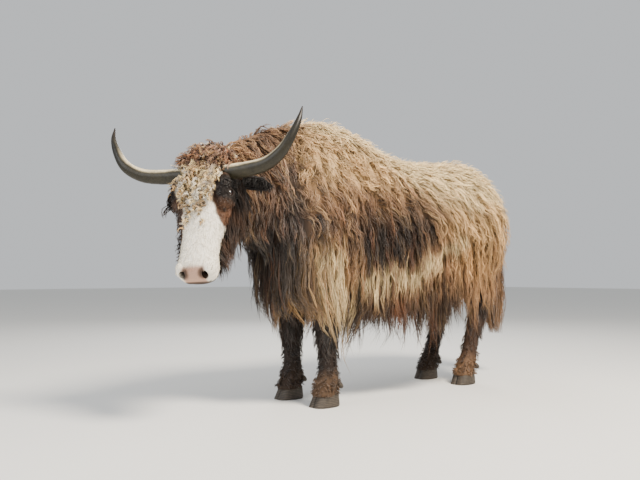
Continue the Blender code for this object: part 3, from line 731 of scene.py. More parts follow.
# from y, z to y, z, reach, colour, strength
TRUNK_BANDS = [
    (-0.95, 0.24, 1.05, 0.24, 0.20, "brown", 0.80),
    (-0.72, 0.84, -0.42, 0.86, 0.12, "brown", 0.72),
    (-0.62, 1.17, -0.25, 1.16, 0.13, "straw", 0.95),
    (-0.50, 1.40, 0.00, 1.30, 0.14, "cream", 0.95),
    (0.00, 1.22, 0.95, 1.24, 0.17, "cream", 0.97),
    (0.20, 1.08, 0.88, 1.04, 0.13, "cream", 0.80),
    (0.26, 0.90, 0.95, 0.88, 0.12, "straw", 0.85),
    (0.34, 0.72, 0.98, 0.70, 0.11, "golden", 0.60),
    (-0.36, 0.99, -0.02, 1.00, 0.06, "brown", 0.35),
    (-0.34, 0.80, 0.00, 0.86, 0.13, "umber", 0.95),
    (-0.35, 0.70, -0.14, 0.76, 0.08, "umber", 0.90),
    (-0.34, 0.75, -0.20, 0.80, 0.09, "black", 0.55),
    (-0.62, 0.70, -0.48, 0.28, 0.10, "golden", 0.95),
    (-0.60, 0.68, -0.47, 0.32, 0.055, "cream", 0.85),
    (-0.34, 0.36, 0.26, 0.42, 0.16, "umber", 0.95),
    (-0.12, 0.44, -0.08, 0.30, 0.06, "rust", 0.50),
    (-0.42, 0.56, -0.42, 0.30, 0.035, "black", 0.85),
    (-0.38, 0.57, -0.06, 0.62, 0.046, "cream", 0.95),
    (-0.06, 0.62, 0.30, 0.80, 0.042, "cream", 0.90),
    (-0.88, 1.05, -0.86, 0.78, 0.14, "brown", 0.90),
    (-0.88, 1.20, -0.74, 1.30, 0.10, "brown", 0.75),
    (-0.745, 1.10, -0.735, 0.82, 0.050, "grey", 0.85),
    (-0.84, 0.68, -0.78, 0.25, 0.19, "black", 0.97),
]


def everywhere(value, points):
    """The same colour or direction at every point."""
    return np.tile(value, (len(points), 1))


def banded(points, base, bands):
    """Colours at points, from a base colour and soft bands drawn by y and z."""
    colours = everywhere(COLOUR[base], points)
    place = points[:, 1:]
    for y, z, to_y, to_z, reach, name, strength in bands:
        start, run = np.array((y, z)), np.array((to_y - y, to_z - z))
        along = np.clip((place - start) @ run / (run @ run), 0, 1)
        away = np.linalg.norm(place - start - along[:, None] * run, axis=1) / reach
        colours += (COLOUR[name] - colours) * (strength * np.exp(-(away**3)))[:, None]
    return colours


def step(value, low, high):
    """Rises smoothly from 0 at low to 1 at high."""
    share = np.clip((value - low) / (high - low), 0, 1)
    return share * share * (3 - 2 * share)


def mixed(colours, name, share):
    """Colours moved part of the way to a named one."""
    return colours + (COLOUR[name] - colours) * np.asarray(share)[..., None]


def ripple(points, size, seed=0):
    """A cheap smooth irregularity from -1 to 1, for ragged borders."""
    rng = np.random.default_rng(seed)
    value = np.zeros(len(points))
    for k in range(6):
        wave = unit(rng.normal(size=3)) * 2 * np.pi / (size * rng.uniform(0.6, 1.6))
        value += np.sin(points @ wave + rng.uniform(0, 6.28))
    return value / 3.5


def trunk_colours(points):
    return banded(points, "tan", TRUNK_BANDS)


def leg_colours(points):
    """Near black legs with rusty tan pasterns, paler on the left."""
    colours = everywhere(COLOUR["umber"] * 0.75, points)
    z = points[:, 2] + 0.02 * ripple(points, 0.07, 4)
    on_left = points[:, 0] > 0
    hind_left = on_left & (points[:, 1] > 0)
    colours = mixed(colours, "brown", 0.55 * step(-z, -0.46, -0.30) * hind_left)
    paler = np.where(on_left, 1.0, 0.25) * (1 + 0.6 * hind_left)
    return mixed(colours, "tan", 0.22 * paler * step(-z, -0.19, -0.11))


# distance along the face, and half width of the white blaze there, on the left and on the right
LEFT_EDGE = ((0.06, 0.12, 0.20, 0.28, 0.35), (0.085, 0.066, 0.058, 0.078, 0.12))
RIGHT_EDGE = ((0.18, 0.26, 0.38, 0.45), (0.105, 0.070, 0.066, 0.12))


def patch(one, at_one, size_one, two, at_two, size_two, power=2):
    """A soft patch in two of the head's distances."""
    return np.exp(-(((one - at_one) / size_one) ** power) - ((two - at_two) / size_two) ** power)


def head_colours(points):
    """White blaze, brown cheeks, dark jaw, black round the left eye, pink nose, and painted shade on the
    right cheek, under the forehead curls, in the nostrils and under the mouth.
    """
    s, a, c = in_head(points).T
    rough = 0.004 * ripple(points, 0.05, 2)
    colours = everywhere(COLOUR["brown"], points)
    colours = mixed(colours, "rust", 0.25 * patch(s, 0.27, 0.05, c, -0.10, 0.04))
    colours = mixed(colours, "umber", 0.9 * step(-c, 0.125, 0.155))
    edge = np.where(a > 0, np.interp(s, *LEFT_EDGE), np.interp(s, *RIGHT_EDGE)) + rough
    inside = step(np.abs(a), edge + 0.006, edge - 0.006) * step(c, -0.136, -0.122)
    colours = mixed(colours, "white", inside)
    # Grey on the right cheek is painted shade, where that side of the face turns away from the light
    right_cheek_shade = step(-a, 0.068, 0.085) * step(s, 0.20, 0.26) * step(-s, -0.46, -0.40)
    colours = mixed(colours, "grey", 0.75 * right_cheek_shade)
    left_eye = patch(s, 0.165, 0.060, a, 0.125, 0.062, 4)
    to_ear = (a > 0) * patch(s, 0.105, 0.040, c, -0.11, 0.06)
    right_eye = patch(s, 0.185, 0.034, a, -0.125, 0.026, 4)
    colours = mixed(colours, "black", np.clip(1.3 * left_eye + to_ear + right_eye, 0, 0.97))
    colours = mixed(colours, "pink", 0.55 * (a > 0) * patch(s, 0.238, 0.016, c, -0.095, 0.022))
    poll = step(s + 2 * rough, 0.085, 0.045) * step(c, -0.25, -0.20)
    colours = mixed(colours, "rust", 0.85 * poll)
    # Golden on the forehead under the curls is painted shade between the ringlets
    shade = 0.45 * step(-s, -0.30, -0.16) * step(0.5 + ripple(points, 0.05, 11), 0.0, 1.0)
    colours = mixed(colours, "golden", inside * (1 - poll) * shade)
    nose = step(s, 0.497, 0.520) * step(np.abs(a), 0.060, 0.040) * step(c, -0.138, -0.128)
    colours = mixed(colours, "pink", 0.9 * nose)
    # Umber round the nostrils and black inside them are painted shade in the nostril hollows
    away = from_pair(points, NOSTRIL)
    colours = mixed(colours, "umber", 0.85 * step(away, 0.034, 0.022))
    colours = mixed(colours, "black", step(away, 0.024, 0.016))
    # Black on the lower lip and chin: the lip's own dark colour, and painted shadow under the line of the
    # mouth
    lip_line = step(-c, 0.134, 0.144) * step(s, 0.36, 0.42)
    lip_front = step(s, 0.542, 0.550) * step(-c, 0.108, 0.118)
    return mixed(colours, "black", 0.85 * np.maximum(lip_line, lip_front))


def ear_colours(points):
    return everywhere(COLOUR["black"] * 1.5, points)

# %% [markdown]
# ## One skin
# Head, trunk and legs are joined into one closed skin by a Boolean, so that no seam shows
# between the flesh parts. It takes the place of the solids of flesh. Its colours are painted
# on its points from the markings, darker than the hair that stands over them: a little on the
# face, and much more under the long coat, as painted shade between the locks.

# %% Join the skin
def arrays_of(obj):
    """Points, normals by point, and triangles of a mesh."""
    mesh = obj.data
    mesh.calc_loop_triangles()
    points, normals = (read(mesh.vertices, key, 3).astype(float) for key in ("co", "normal"))
    return points, normals, read(mesh.loop_triangles, "vertices", 3, np.int32)


PARTS = {"trunk": arrays_of(trunk), "head": arrays_of(head)}
for (kind, sign), leg in legs.items():
    PARTS[f"leg_{kind}_{sign}"] = arrays_of(leg)
skin = combine(trunk, [head, *legs.values()], "UNION")
skin.name = "skin"
skin_points, _, skin_triangles = arrays_of(skin)
SKIN = surface_tree(skin)
print("skin", len(skin_triangles), "triangles")


def is_ear(points):
    """Whether points of the head belong to an ear."""
    found = np.zeros(len(points), bool)
    for sign in (1, -1):
        base, outward = on_head(EAR_BASE, sign), ear_direction(sign)
        along = (points - base) @ outward
        aside = np.linalg.norm(points - base - along[:, None] * outward, axis=1)
        found |= (along > 0.012) & (along < 0.2) & (aside < 0.06)
    return found


def region_of(points):
    """0 trunk, 1 head, 2 leg, for points of the skin."""
    s, a, c = in_head(points).T
    under_jaw = -0.30 + 0.10 * step(s, 0.30, 0.10)
    region = np.zeros(len(points), int)
    region[(s > -0.09) & (np.abs(a) < 0.30) & (c > under_jaw) & (points[:, 1] < -1.0)] = 1
    region[points[:, 2] < 0.55] = 2
    return region


def skin_colours(points):
    """The markings over the whole skin."""
    region = region_of(points)
    colours = trunk_colours(points)
    ears = is_ear(points)
    for chosen, of in ((region == 1, head_colours), (ears, ear_colours), (region == 2, leg_colours)):
        colours[chosen] = of(points[chosen])
    return colours


def paint(obj, colours):
    """Stores linear colours on the points of a mesh."""
    layer = obj.data.color_attributes.new(name="coat", type="FLOAT_COLOR", domain="POINT")
    filled = np.ones((len(colours), 4), np.float32)
    filled[:, :3] = np.clip(colours, 0, 1)
    layer.data.foreach_set("color", filled.ravel())


# The skin is painted darker than the hair over it: a little on the face, and much under the long coat, as
# painted shade between the locks
darker = np.where(region_of(skin_points) == 1, 0.92, 0.6)[:, None]
paint(skin, skin_colours(skin_points) * darker)

# %% [markdown]
# ## Skin material
# Under hair the skin hardly shows, but the face and the muzzle carry hair so short that they
# look like satin cloth. The material reads the painted colour and adds the fine grain of short
# hair.

# %% Skin material
def coat_material(name, roughness, grain_size, bump, streak=0.25):
    """Hair colour from the painted layer, with fine grain in colour and bump."""
    made, tree, shader = new_material(name, roughness, 0.3)
    painted = add_node(tree, "ShaderNodeAttribute", {"attribute_name": "coat"})
    grain = add_node(tree, "ShaderNodeTexNoise", Vector=own_place(tree), Scale=1 / grain_size, Detail=3.0)
    shade = add_node(tree, "ShaderNodeMapRange", i0=grain, i3=1 - streak, i4=1 + streak)
    colour = add_node(tree, "ShaderNodeHueSaturation", Value=shade, Color=painted)
    give(tree, shader, colour, grain, bump)
    return made


short_hair = coat_material("short hair over skin", 0.72, 0.003, 0.5)
skin.data.materials.clear()
skin.data.materials.append(short_hair)
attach(skin, "root")
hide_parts("head", "ear_left", "ear_right", "neck", "torso", "tail")
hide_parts("leg_fore_left", "leg_fore_right", "leg_hind_left", "leg_hind_right")

# %% [markdown]
# ## Eyes
# A yak's eye is a dark wet ball about 38 mm across with a level, oblong pupil. It is a finely
# divided ball in the place of the solid one. Pupil and iris come from the place on the ball,
# and a clear coat gives the wet light.

# %% Eyes
PUPIL = (0.0075, 0.0042)


def eye_material(side, sign):
    """Near black pupil, brown iris and dark rim, from the place on the ball, under a clear coat."""
    made, tree, shader = new_material(f"wet eye {side}", 0.12)
    axes = eye_axes(sign)
    centre = Vector(on_head(EYE_PLACE, sign) + SHIFT)
    offset = maths(tree, "SUBTRACT", own_place(tree), centre, kind="VectorMath")
    lengthwise, crosswise = (
        maths(tree, "DOT_PRODUCT", offset, Vector(axes[:, column]) / size, kind="VectorMath")
        for column, size in zip((0, 2), PUPIL)
    )
    flat = add_node(tree, "ShaderNodeCombineXYZ", X=lengthwise, Y=crosswise)
    away = maths(tree, "LENGTH", flat, kind="VectorMath")
    rings = add_node(tree, "ShaderNodeValToRGB", Fac=maths(tree, "MULTIPLY", away, 0.25))
    stops = rings.color_ramp.elements
    stops[0].position, stops[0].color = 0.24, rgba("#050404")
    stops[1].position, stops[1].color = 0.30, rgba("#2E1A0E")
    stops.new(0.85).color = rgba("#120B08")
    give(tree, shader, rings)
    shader.inputs["Coat Weight"].default_value = 1.0
    shader.inputs["Coat Roughness"].default_value = 0.03
    return made


def place_piece(obj, slot, material, *nodes):
    """Gives a finished piece its material, moves it into the frame and hides the solids that it stands for.
    """
    if material:
        obj.data.materials.append(material)
    obj.data.transform(Matrix.Translation(Vector(SHIFT)))
    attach(obj, "root")
    if nodes:
        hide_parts(*nodes)
    return obj


SIDES = {"left": 1, "right": -1}
for side, sign in SIDES.items():
    eye = ball(f"eyeball_{side}", on_head(EYE_PLACE, sign), eye_axes(sign), (EYE_RADIUS,) * 3, 48, 32)
    place_piece(eye, "eye", eye_material(side, sign), f"eye_{side}")
print("eyes made")

# %% [markdown]
# ## Horns
# Horn grows in a cone from the skull, so its surface has faint rings near the base and runs
# smooth to the tip. It leaves the head sideways, then sweeps up. Near the base the upper side is
# cream: partly the horn's own pale base, and partly a painted highlight, since it is laid only
# where the surface faces up. The lower side is olive grey and the tip is dark. A loft over the
# same centre line as the solid's gives the sweep, and the streaks follow the place on the horn.

# %% Horns
# offset from the base sideways, up and forward, and radius
HORN = [
    (-0.02, -0.005, 0.0, 0.034),
    (0.10, 0.0, 0.01, 0.032),
    (0.18, 0.015, 0.02, 0.029),
    (0.245, 0.055, 0.03, 0.025),
    (0.29, 0.12, 0.02, 0.0195),
    (0.32, 0.19, 0.0, 0.012),
    (0.33, 0.25, -0.03, 0.0025),
]


def horn_piece(side, sign):
    """One horn, with its colours painted on its points."""
    rows = smooth_rows(HORN, 10)
    centres = (
        on_head(HORN_BASE, sign)
        + sign * np.outer(rows[:, 0], HEAD_LEFT)
        + np.outer(rows[:, 1], HEAD_UP)
        + np.outer(rows[:, 2], HEAD_FORWARD)
    )
    tangents = unit(np.gradient(centres, axis=0))
    along = np.linspace(0, 1, len(rows))
    rings = []
    for centre, tangent, t, row in zip(centres, tangents, along, rows):
        side_axis = unit(np.cross(tangent, HEAD_FORWARD))
        radius = row[3] * (1 + 0.018 * math.sin(95 * t) * max(0, 1 - t / 0.45))
        rings.append(ring(centre, side_axis, np.cross(tangent, side_axis), radius, radius, radius, 32))
    obj = loft(f"horn_{side}_worn_highlit", rings)
    points, normals, _ = arrays_of(obj)
    t = along[np.argmin(np.linalg.norm(points[:, None] - centres[None], axis=2), axis=1)]
    # Cream on the upper side towards the base: the horn's pale base, laid only where the surface faces up,
    # as a painted highlight
    above = step(normals @ HEAD_UP + 0.07 * ripple(points, 0.12, 8), 0.42, 0.72)
    colours = everywhere(linear("#1A1811"), points)
    for colour, share in (
        ("#D5C6A2", 0.90 * (above * step(-t, -0.86, -0.50))),
        ("#3E3827", 0.45 * (1 - above) * step(-t, -0.8, -0.2)),
        ("#221A14", 0.9 * step(t, 0.74, 0.94)),
    ):
        colours += (linear(colour) - colours) * share[:, None]
    paint(obj, colours)
    return obj


def horn_material():
    """Keratin: satin, with long faint streaks and small dents from wear."""
    made, tree, shader = new_material("worn_highlit horn", 0.42, 0.32)
    painted = add_node(tree, "ShaderNodeAttribute", {"attribute_name": "coat"})
    place = own_place(tree)
    streaks = add_node(tree, "ShaderNodeTexNoise", Vector=place, Scale=120.0, Detail=4.0, Distortion=0.6)
    clouds = add_node(tree, "ShaderNodeTexNoise", Vector=place, Scale=28.0, Detail=3.0)
    both = maths(tree, "ADD", streaks, clouds)
    shade = add_node(tree, "ShaderNodeMapRange", i0=both, i1=0.7, i2=1.3, i3=0.62, i4=1.25)
    colour = add_node(tree, "ShaderNodeHueSaturation", Value=shade, Color=painted)
    give(tree, shader, colour, streaks, 0.25, 0.001)
    return made


worn_highlit_horn = horn_material()
for side, sign in SIDES.items():
    place_piece(horn_piece(side, sign), "horn", worn_highlit_horn, f"horn_{side}")
print("horns made")

# %% [markdown]
# ## Hooves
# Each foot has two claws with a cleft between them and two small dewclaws behind. The claw's
# wall slopes and carries growth rings. The wall is a loft over half outlines of the foot, in
# the place of each solid claw.

# %% Hooves
FOOT_LENGTH = 0.15
CLAW_WIDTH = 0.058
CLEFT = 0.006
DEWCLAW = np.array((0.026, 0.055, 0.098))
DEWCLAW_SIZE = (0.014, 0.024, 0.014)
HIND_DEWCLAW_SHIFT = 0.018


def claw_piece(name, x, foot_y, sign):
    """One claw, with growth rings on its sloping wall."""
    toe_y = foot_y - FOOT_LENGTH * 0.62
    angle = np.linspace(0, math.pi, 25)
    rings = []
    for t in np.linspace(0, 1, 22):
        forward = 0.030 * t**0.85
        inset = 0.0015 + 0.006 * t - 0.0012 * math.sin(48 * t) * t
        if t < 0.06:
            inset += 0.003
        length = FOOT_LENGTH - forward - inset
        y = toe_y + forward + length * (0.5 - 0.5 * np.cos(angle))
        xs = x + sign * (CLEFT / 2 + (CLAW_WIDTH - inset) * np.sin(angle) ** 0.62)
        rings.append(np.stack([xs, y, np.full(25, t * HOOF_TOP * 1.02)], -1))
    return loft(name, rings)


def hoof_material():
    """Hoof horn: dull dark grey-brown, paler dusty rings, finely scratched."""
    made, tree, shader = new_material("dusty hoof horn", 0.62, 0.35)
    place = own_place(tree)
    rings = add_node(
        tree, "ShaderNodeTexWave", {"bands_direction": "Z"},
        Vector=place, Scale=42.0, Distortion=3.0, Detail=3.0,
    )
    dust = add_node(tree, "ShaderNodeTexNoise", Vector=place, Scale=60.0, Detail=5.0)
    both = maths(tree, "MULTIPLY", rings.outputs["Fac"], dust)
    ramp = add_node(tree, "ShaderNodeValToRGB", Fac=both)
    dark, dusty = ramp.color_ramp.elements
    dark.position, dark.color = 0.05, rgba("#2E2823")
    dusty.position, dusty.color = 0.65, rgba("#5B5247")
    give(tree, shader, ramp, both, 0.4, 0.0015)
    return made


hoof_horn = hoof_material()
for kind, foot_y in FEET.items():
    for side, sign in SIDES.items():
        x = sign * FOOT_X
        for end, part_sign in (("outer", sign), ("inner", -sign)):
            name = f"{kind}_{side}_{end}"
            claw = claw_piece(f"hoof_{name}", x, foot_y, part_sign)
            place_piece(claw, "hoof", hoof_horn, f"claw_{name}")
            shift = 0.0 if kind == "fore" else HIND_DEWCLAW_SHIFT
            spot = np.array((x, foot_y, 0)) + DEWCLAW * (part_sign, 1, 1) + (0, shift, 0)
            axes = frame_about((0.25 * part_sign, 1, -0.9), (1, 0, 0))
            nub = ball(f"nub_{name}", spot, axes, DEWCLAW_SIZE, 24, 14)
            place_piece(nub, "hoof", hoof_horn, f"dewclaw_{name}")
print("hooves made")

# %% [markdown]
# ## How the coat grows
# A yak's long coat hangs in locks. Strands start at the skin, lie back and down over the body,
# and hang free where the body turns under. So the coat is grown in three steps: a few hundred
# leading locks find their way over the skin, a few thousand lesser locks gather to them, and
# tens of thousands of strands gather to those. Each strand is a thin, closed, tapered sliver
# with three sides, because the finished model may hold meshes only.

# %% Roots and paths
rng = np.random.default_rng(21)


def roots_on(part, count, weight):
    """Random places on a part of the body, where it isn't inside another part, and normals."""
    points, normals, triangles = PARTS[part]
    corners = points[triangles]
    sides = corners[:, 1:] - corners[:, :1]
    area = np.linalg.norm(np.cross(sides[:, 0], sides[:, 1]), axis=1)
    share = area * weight(corners.mean(1), unit(normals[triangles].sum(1)))
    pick = rng.choice(len(triangles), count, p=share / share.sum())
    one, two = rng.random((2, count))
    turn = one + two > 1
    one[turn], two[turn] = 1 - one[turn], 1 - two[turn]
    mix = np.stack([1 - one - two, one, two], -1)[..., None]
    place = (corners[pick] * mix).sum(1)
    out = unit((normals[triangles[pick]] * mix).sum(1))
    near, _ = nearest(place)
    shown = np.linalg.norm(near - place, axis=1) < 0.004
    return place[shown], out[shown]


def nearest(points):
    """For each point the nearest place on the skin and its outward direction."""
    found = [SKIN.find_nearest(Vector(point)) for point in points]
    return np.array([f[0] for f in found]), np.array([f[1] for f in found])


def across_table(table, at):
    """Values between the rows of a table with two columns."""
    return np.interp(at, table[:, 0], table[:, 1])


def along_skin(wish, out):
    """The part of a direction that runs along the skin."""
    return wish - out * (wish * out).sum(1, keepdims=True)


def lie_of_coat(points, out):
    """Backwards over the top of the trunk, and down on its flanks, chest and rump."""
    side = np.sign(points[:, 0]) * np.clip(np.abs(points[:, 0]) / 0.05, 0, 1)
    wish = np.stack([0.30 * side, np.full(len(points), 0.30), np.full(len(points), -1.0)], -1)
    wish[:, 1] += 0.6 * np.clip(out[:, 2], 0, 1)
    flat = unit(along_skin(wish, out))
    swirl = 0.30 * ripple(points, 0.22, 6) + 0.45 * ripple(points, 0.07, 7)
    return unit(flat + np.cross(out, flat) * swirl[:, None])


# How deep the roots sit in the skin
SINK = 0.004


def grown(roots, out, lengths, lifts, lie=lie_of_coat, steps=9):
    """Paths of hair: along the skin at their own height, then down where nothing carries them."""
    point = roots - out * SINK
    near, normal = roots, out
    path = [point]
    for k in range(1, steps + 1):
        share = k / steps
        height = ((point - near) * normal).sum(1)
        loose = np.clip(np.maximum((height - lifts) / 0.05, -4 * normal[:, 2]), 0, 1)[:, None]
        heading = unit(lie(point, normal) * (1 - loose) + DOWN * loose)
        point = point + heading * (lengths / steps)[:, None]
        near, normal = nearest(point)
        height = ((point - near) * normal).sum(1)
        least = (SINK + lifts) * share**0.6 - SINK
        rest = np.where(height < least, 1.0, np.clip(1 + 4 * normal[:, 2], 0, 1))
        point = point + normal * ((least - height) * rest)[:, None]
        path.append(point)
    return np.stack(path, 1)


def shortened(paths, share):
    """The first share of each path, with as many points."""
    rows = paths.shape[1]
    at = share[:, None] * np.arange(rows)[None]
    low = np.minimum(at.astype(int), rows - 2)
    part = (at - low)[..., None]
    line = np.arange(len(paths))[:, None]
    return paths[line, low] * (1 - part) + paths[line, low + 1] * part


def gathered(roots, leaders, leader_roots, pull, share):
    """Paths from new roots that run beside the nearest leader and close in on it."""
    tree = KDTree(len(leader_roots))
    for k, place in enumerate(leader_roots):
        tree.insert(Vector(place), k)
    tree.balance()
    index = np.array([tree.find(Vector(root))[1] for root in roots])
    rows = leaders.shape[1]
    t = np.linspace(0, 1, rows)
    closing = 1 - pull[:, None] * (t**0.8)[None]
    offset = roots - leader_roots[index]
    return shortened(leaders[index], share) + offset[:, None] * closing[..., None], index


def pushed_out(paths, height):
    """Lifts points that have sunk into the skin to a small height over it."""
    flat = paths[:, 1:].reshape(-1, 3)
    near, normal = nearest(flat)
    depth = ((flat - near) * normal).sum(1)
    rows = paths.shape[1]
    least = np.repeat(height, rows - 1) * np.tile(np.linspace(0.3, 1, rows - 1), len(paths))
    flat = flat + normal * np.clip(least - depth, 0, 0.06)[:, None]
    paths[:, 1:] = flat.reshape(len(paths), rows - 1, 3)
    return paths


def waved(paths, size, count, spread=0.4):
    """Gives each path its own soft waves, larger towards the tip."""
    n, rows, _ = paths.shape
    t = np.linspace(0, 1, rows)
    tangent = unit(np.gradient(paths, axis=1))
    across = unit(np.cross(tangent, (0.31, 0.2, 0.93)))
    second = np.cross(tangent, across)
    phase = rng.uniform(0, 2 * np.pi, (2, n, 1))
    beats = count * rng.uniform(1 - spread, 1 + spread, (n, 1))
    swing = (size * rng.uniform(0.4, 1.3, n))[:, None] * t**0.7
    one = swing * (np.sin(2 * np.pi * beats * t + phase[0]) - np.sin(phase[0]))
    two = swing * (np.sin(2 * np.pi * beats * t + phase[1]) - np.sin(phase[1]))
    return paths + across * one[..., None] + second * two[..., None]

# %% Strands
def taper(rows):
    """Share of the full width at each row but the tip."""
    t = np.arange(rows - 1) / (rows - 1)
    return (0.55 + 0.45 * np.clip(t / 0.15, 0, 1)) * (1 - t**2.2) ** 0.8


def triangles_of(strands, rows):
    return strands * (6 * (rows - 2) + 4)


# Size of a strand's own patch on the bake map
BAKE_PATCH = 0.003


def strand_mesh(name, paths, widths, out, colours, places):
    """Closed three-sided tapered slivers along paths, with colours by row and a bake map."""
    n, rows, _ = paths.shape
    tangent = unit(np.gradient(paths, axis=1))
    across = unit(np.cross(tangent, out[:, None]) + 1e-6)
    up = np.cross(across, tangent)
    radius = widths[:, None] / 2 * taper(rows)[None]
    angle = np.array((np.pi / 2, np.pi * 7 / 6, np.pi * 11 / 6))
    body = paths[:, :-1, None]
    body = body + across[:, :-1, None] * (radius[..., None] * np.cos(angle))[..., None]
    body = body + up[:, :-1, None] * (radius[..., None] * np.sin(angle) * 0.5)[..., None]
    points = np.concatenate([body.reshape(n, -1, 3), paths[:, -1:]], 1)
    per = 3 * (rows - 1) + 1
    j = np.arange(3)
    after = (j + 1) % 3
    row = (3 * np.arange(rows - 2))[:, None]
    quads = np.stack([row + j, row + after, row + 3 + after, row + 3 + j], -1).reshape(-1, 4)
    last = 3 * (rows - 2)
    tips = np.stack([last + j, last + after, np.full(3, per - 1)], -1)
    caps = np.array([[2, 1, 0]])
    start = (np.arange(n) * per)[:, None, None]
    quads = (quads[None] + start).reshape(-1, 4)
    ends = (np.vstack([tips, caps])[None] + start).reshape(-1, 3)
    obj = mesh_from(name, points.reshape(-1, 3), quads, ends)
    t = np.append(np.repeat(np.arange(rows - 1) / (rows - 1), 3), 1.0)
    side = np.append(np.tile((0.0, 0.5, 1.0), rows - 1), 0.5)
    row_of = np.append(np.repeat(np.arange(rows - 1), 3), rows - 1)
    paint(obj, colours[:, row_of].reshape(-1, 3))
    spread = np.stack([side - 0.5, t - 0.5], -1) * BAKE_PATCH
    bake = (places[:, None] + spread[None]).reshape(-1, 2)
    give_bake_map(obj.data, bake)
    print(name, n, "strands,", triangles_of(n, rows), "triangles")
    return obj


def give_bake_map(mesh, places):
    """Lays a mesh out for baking by its points' places."""
    corners = read(mesh.loops, "vertex_index", 1, np.int32)[:, 0]
    layer = mesh.uv_layers.new(name="OFBake")
    layer.data.foreach_set("uv", places.astype(np.float32)[corners].ravel())


def shaded_roots_pale_tips(colours, rows, root, tip):
    """Colours by row that run from a root darkened as painted shade to a paler, sun-bleached tip, without
    losing their hue.
    """
    t = np.linspace(0, 1, rows)
    if colours.ndim == 2:
        colours = np.repeat(colours[:, None], rows, 1)
    colours = colours * (root + (tip - root) * t**0.7)[None, :, None]
    return colours * np.minimum(1, 0.92 / np.maximum(colours.max(-1, keepdims=True), 1e-6))


def turn_share(across, up):
    """Direction round an axis, from 0 to 1."""
    return np.arctan2(across, up) / (2 * np.pi) + 0.5


def bake_places(part, points):
    """Each root's place on an unrolled skin: the trunk, the head, the tail and the legs in strips."""
    x, y, z = points.T
    if part == "trunk":
        u, v = 0.02 + 0.96 * (y + 1.3) / 2.4, 0.02 + 0.56 * turn_share(x, z - 0.9)
    elif part == "head":
        s, a, c = in_head(points).T
        u = 0.02 + 0.60 * np.clip((s + 0.15) / 0.8, 0, 1)
        v = 0.62 + 0.16 * turn_share(a, c + 0.08)
    elif part == "tail":
        u, v = 0.68 + 0.28 * np.clip(z / 1.3, 0, 1), 0.62 + 0.16 * turn_share(x, y - 0.98)
    else:
        around = turn_share(x - np.sign(x) * FOOT_X, y - np.where(y < 0, -0.5, 0.58))
        strip = 2 * (y > 0) + (x > 0)
        u, v = 0.02 + 0.96 * z / 0.7, 0.80 + 0.045 * strip + 0.04 * around
    return np.stack([u, v], -1)


print("strand tools ready")

# %% [markdown]
# ## The coat of the trunk
# On the hump and croup the hair is about ten centimetres long and lies back. On the flanks it is
# longer and hangs, and from the lower flank, the chest and the haunch it falls as the skirt, with
# its hem about knee high. The length of each leading lock follows from where it starts, and the
# hem sets how far down it may reach.

# %% Trunk coat
DENSITY = 1.0

# Height of the roots and length of their hair
LENGTH = np.array([
    (0.50, 0.36),
    (0.62, 0.42),
    (0.74, 0.33),
    (0.86, 0.18),
    (1.00, 0.120),
    (1.20, 0.095),
    (1.45, 0.085),
])
# Hair that reaches further out to the side than this is drawn in by this share
WIDEST = 0.385
DRAWN_IN = 0.7
# Strands under the belly that reach further than this from their root are left out
LONGEST_STRAY = 0.09


def trunk_length(points, out):
    """Length of the hair by its place: short and woolly on top, longest over the elbow."""
    y, z = points[:, 1], points[:, 2]
    length = across_table(LENGTH, z)
    length = length * (1 + 0.45 * np.exp(-(((y + 0.57) / 0.14) ** 2) - ((z - 0.70) / 0.10) ** 2))
    neck = step(-y, 0.72, 0.85)
    length = length * (1 - neck) + (0.13 + 0.10 * step(-z, -0.95, -0.75)) * neck
    length = length * (1 - 0.55 * step(-out[:, 2], 0.60, 0.85))
    room = z - across_table(HEM, y) + 0.05
    return np.minimum(length, np.maximum(room, 0.06))


def coat_weight(centres, out):
    """How dense the roots are: dense low on the flanks and on the nape, sparse under the belly."""
    weight = 0.8 + 0.9 * step(centres[:, 2], 0.95, 0.65)
    weight = weight * (1 - 0.6 * step(-out[:, 2], 0.75, 0.95))
    nape = step(-centres[:, 1], 0.86, 0.98) * step(out[:, 2], 0.1, 0.5)
    return weight * (1 + 2.5 * nape)


def coat_paths(roots, out, length_of, counts, rows, lift, pull, waves, lie):
    """Paths of the strands, their roots, and the number of each one's lock and lesser lock."""
    counts = (*counts[:2], min(int(counts[2] * DENSITY), len(roots)))
    leaders, lesser, single = (rng.choice(len(roots), count, replace=False) for count in counts)
    size, beats = waves
    lengths = length_of(roots[leaders], out[leaders]) * rng.uniform(0.80, 1.15, len(leaders))
    lifts = lift * rng.uniform(0.35, 1.0, len(leaders))
    first = waved(grown(roots[leaders], out[leaders], lengths, lifts, lie, rows - 1), size, beats)
    pulls, shares = rng.uniform(0.25, 0.75, len(lesser)) * pull, rng.uniform(0.74, 1.08, len(lesser))
    second, lock = gathered(roots[lesser], first, roots[leaders], pulls, shares)
    second = waved(second, size * 0.7, beats * 1.3)
    second = pushed_out(second, lift * rng.uniform(0.15, 0.8, len(lesser)))
    pulls, shares = rng.uniform(0.6, 1.0, len(single)) * pull, rng.uniform(0.78, 1.0, len(single))
    third, close = gathered(roots[single], second, roots[lesser], pulls, shares)
    third = waved(third, size * 0.25, beats * 1.6)
    too_wide = np.maximum(np.abs(third[..., 0]) - WIDEST, 0)
    third[..., 0] -= DRAWN_IN * too_wide * np.sign(third[..., 0])
    wander = np.linalg.norm((third[:, -1] - third[:, 0])[:, :2], axis=1)
    kept = (out[single][:, 2] > -0.3) | (wander < LONGEST_STRAY)
    return third[kept], single[kept], lock[close[kept]], close[kept]


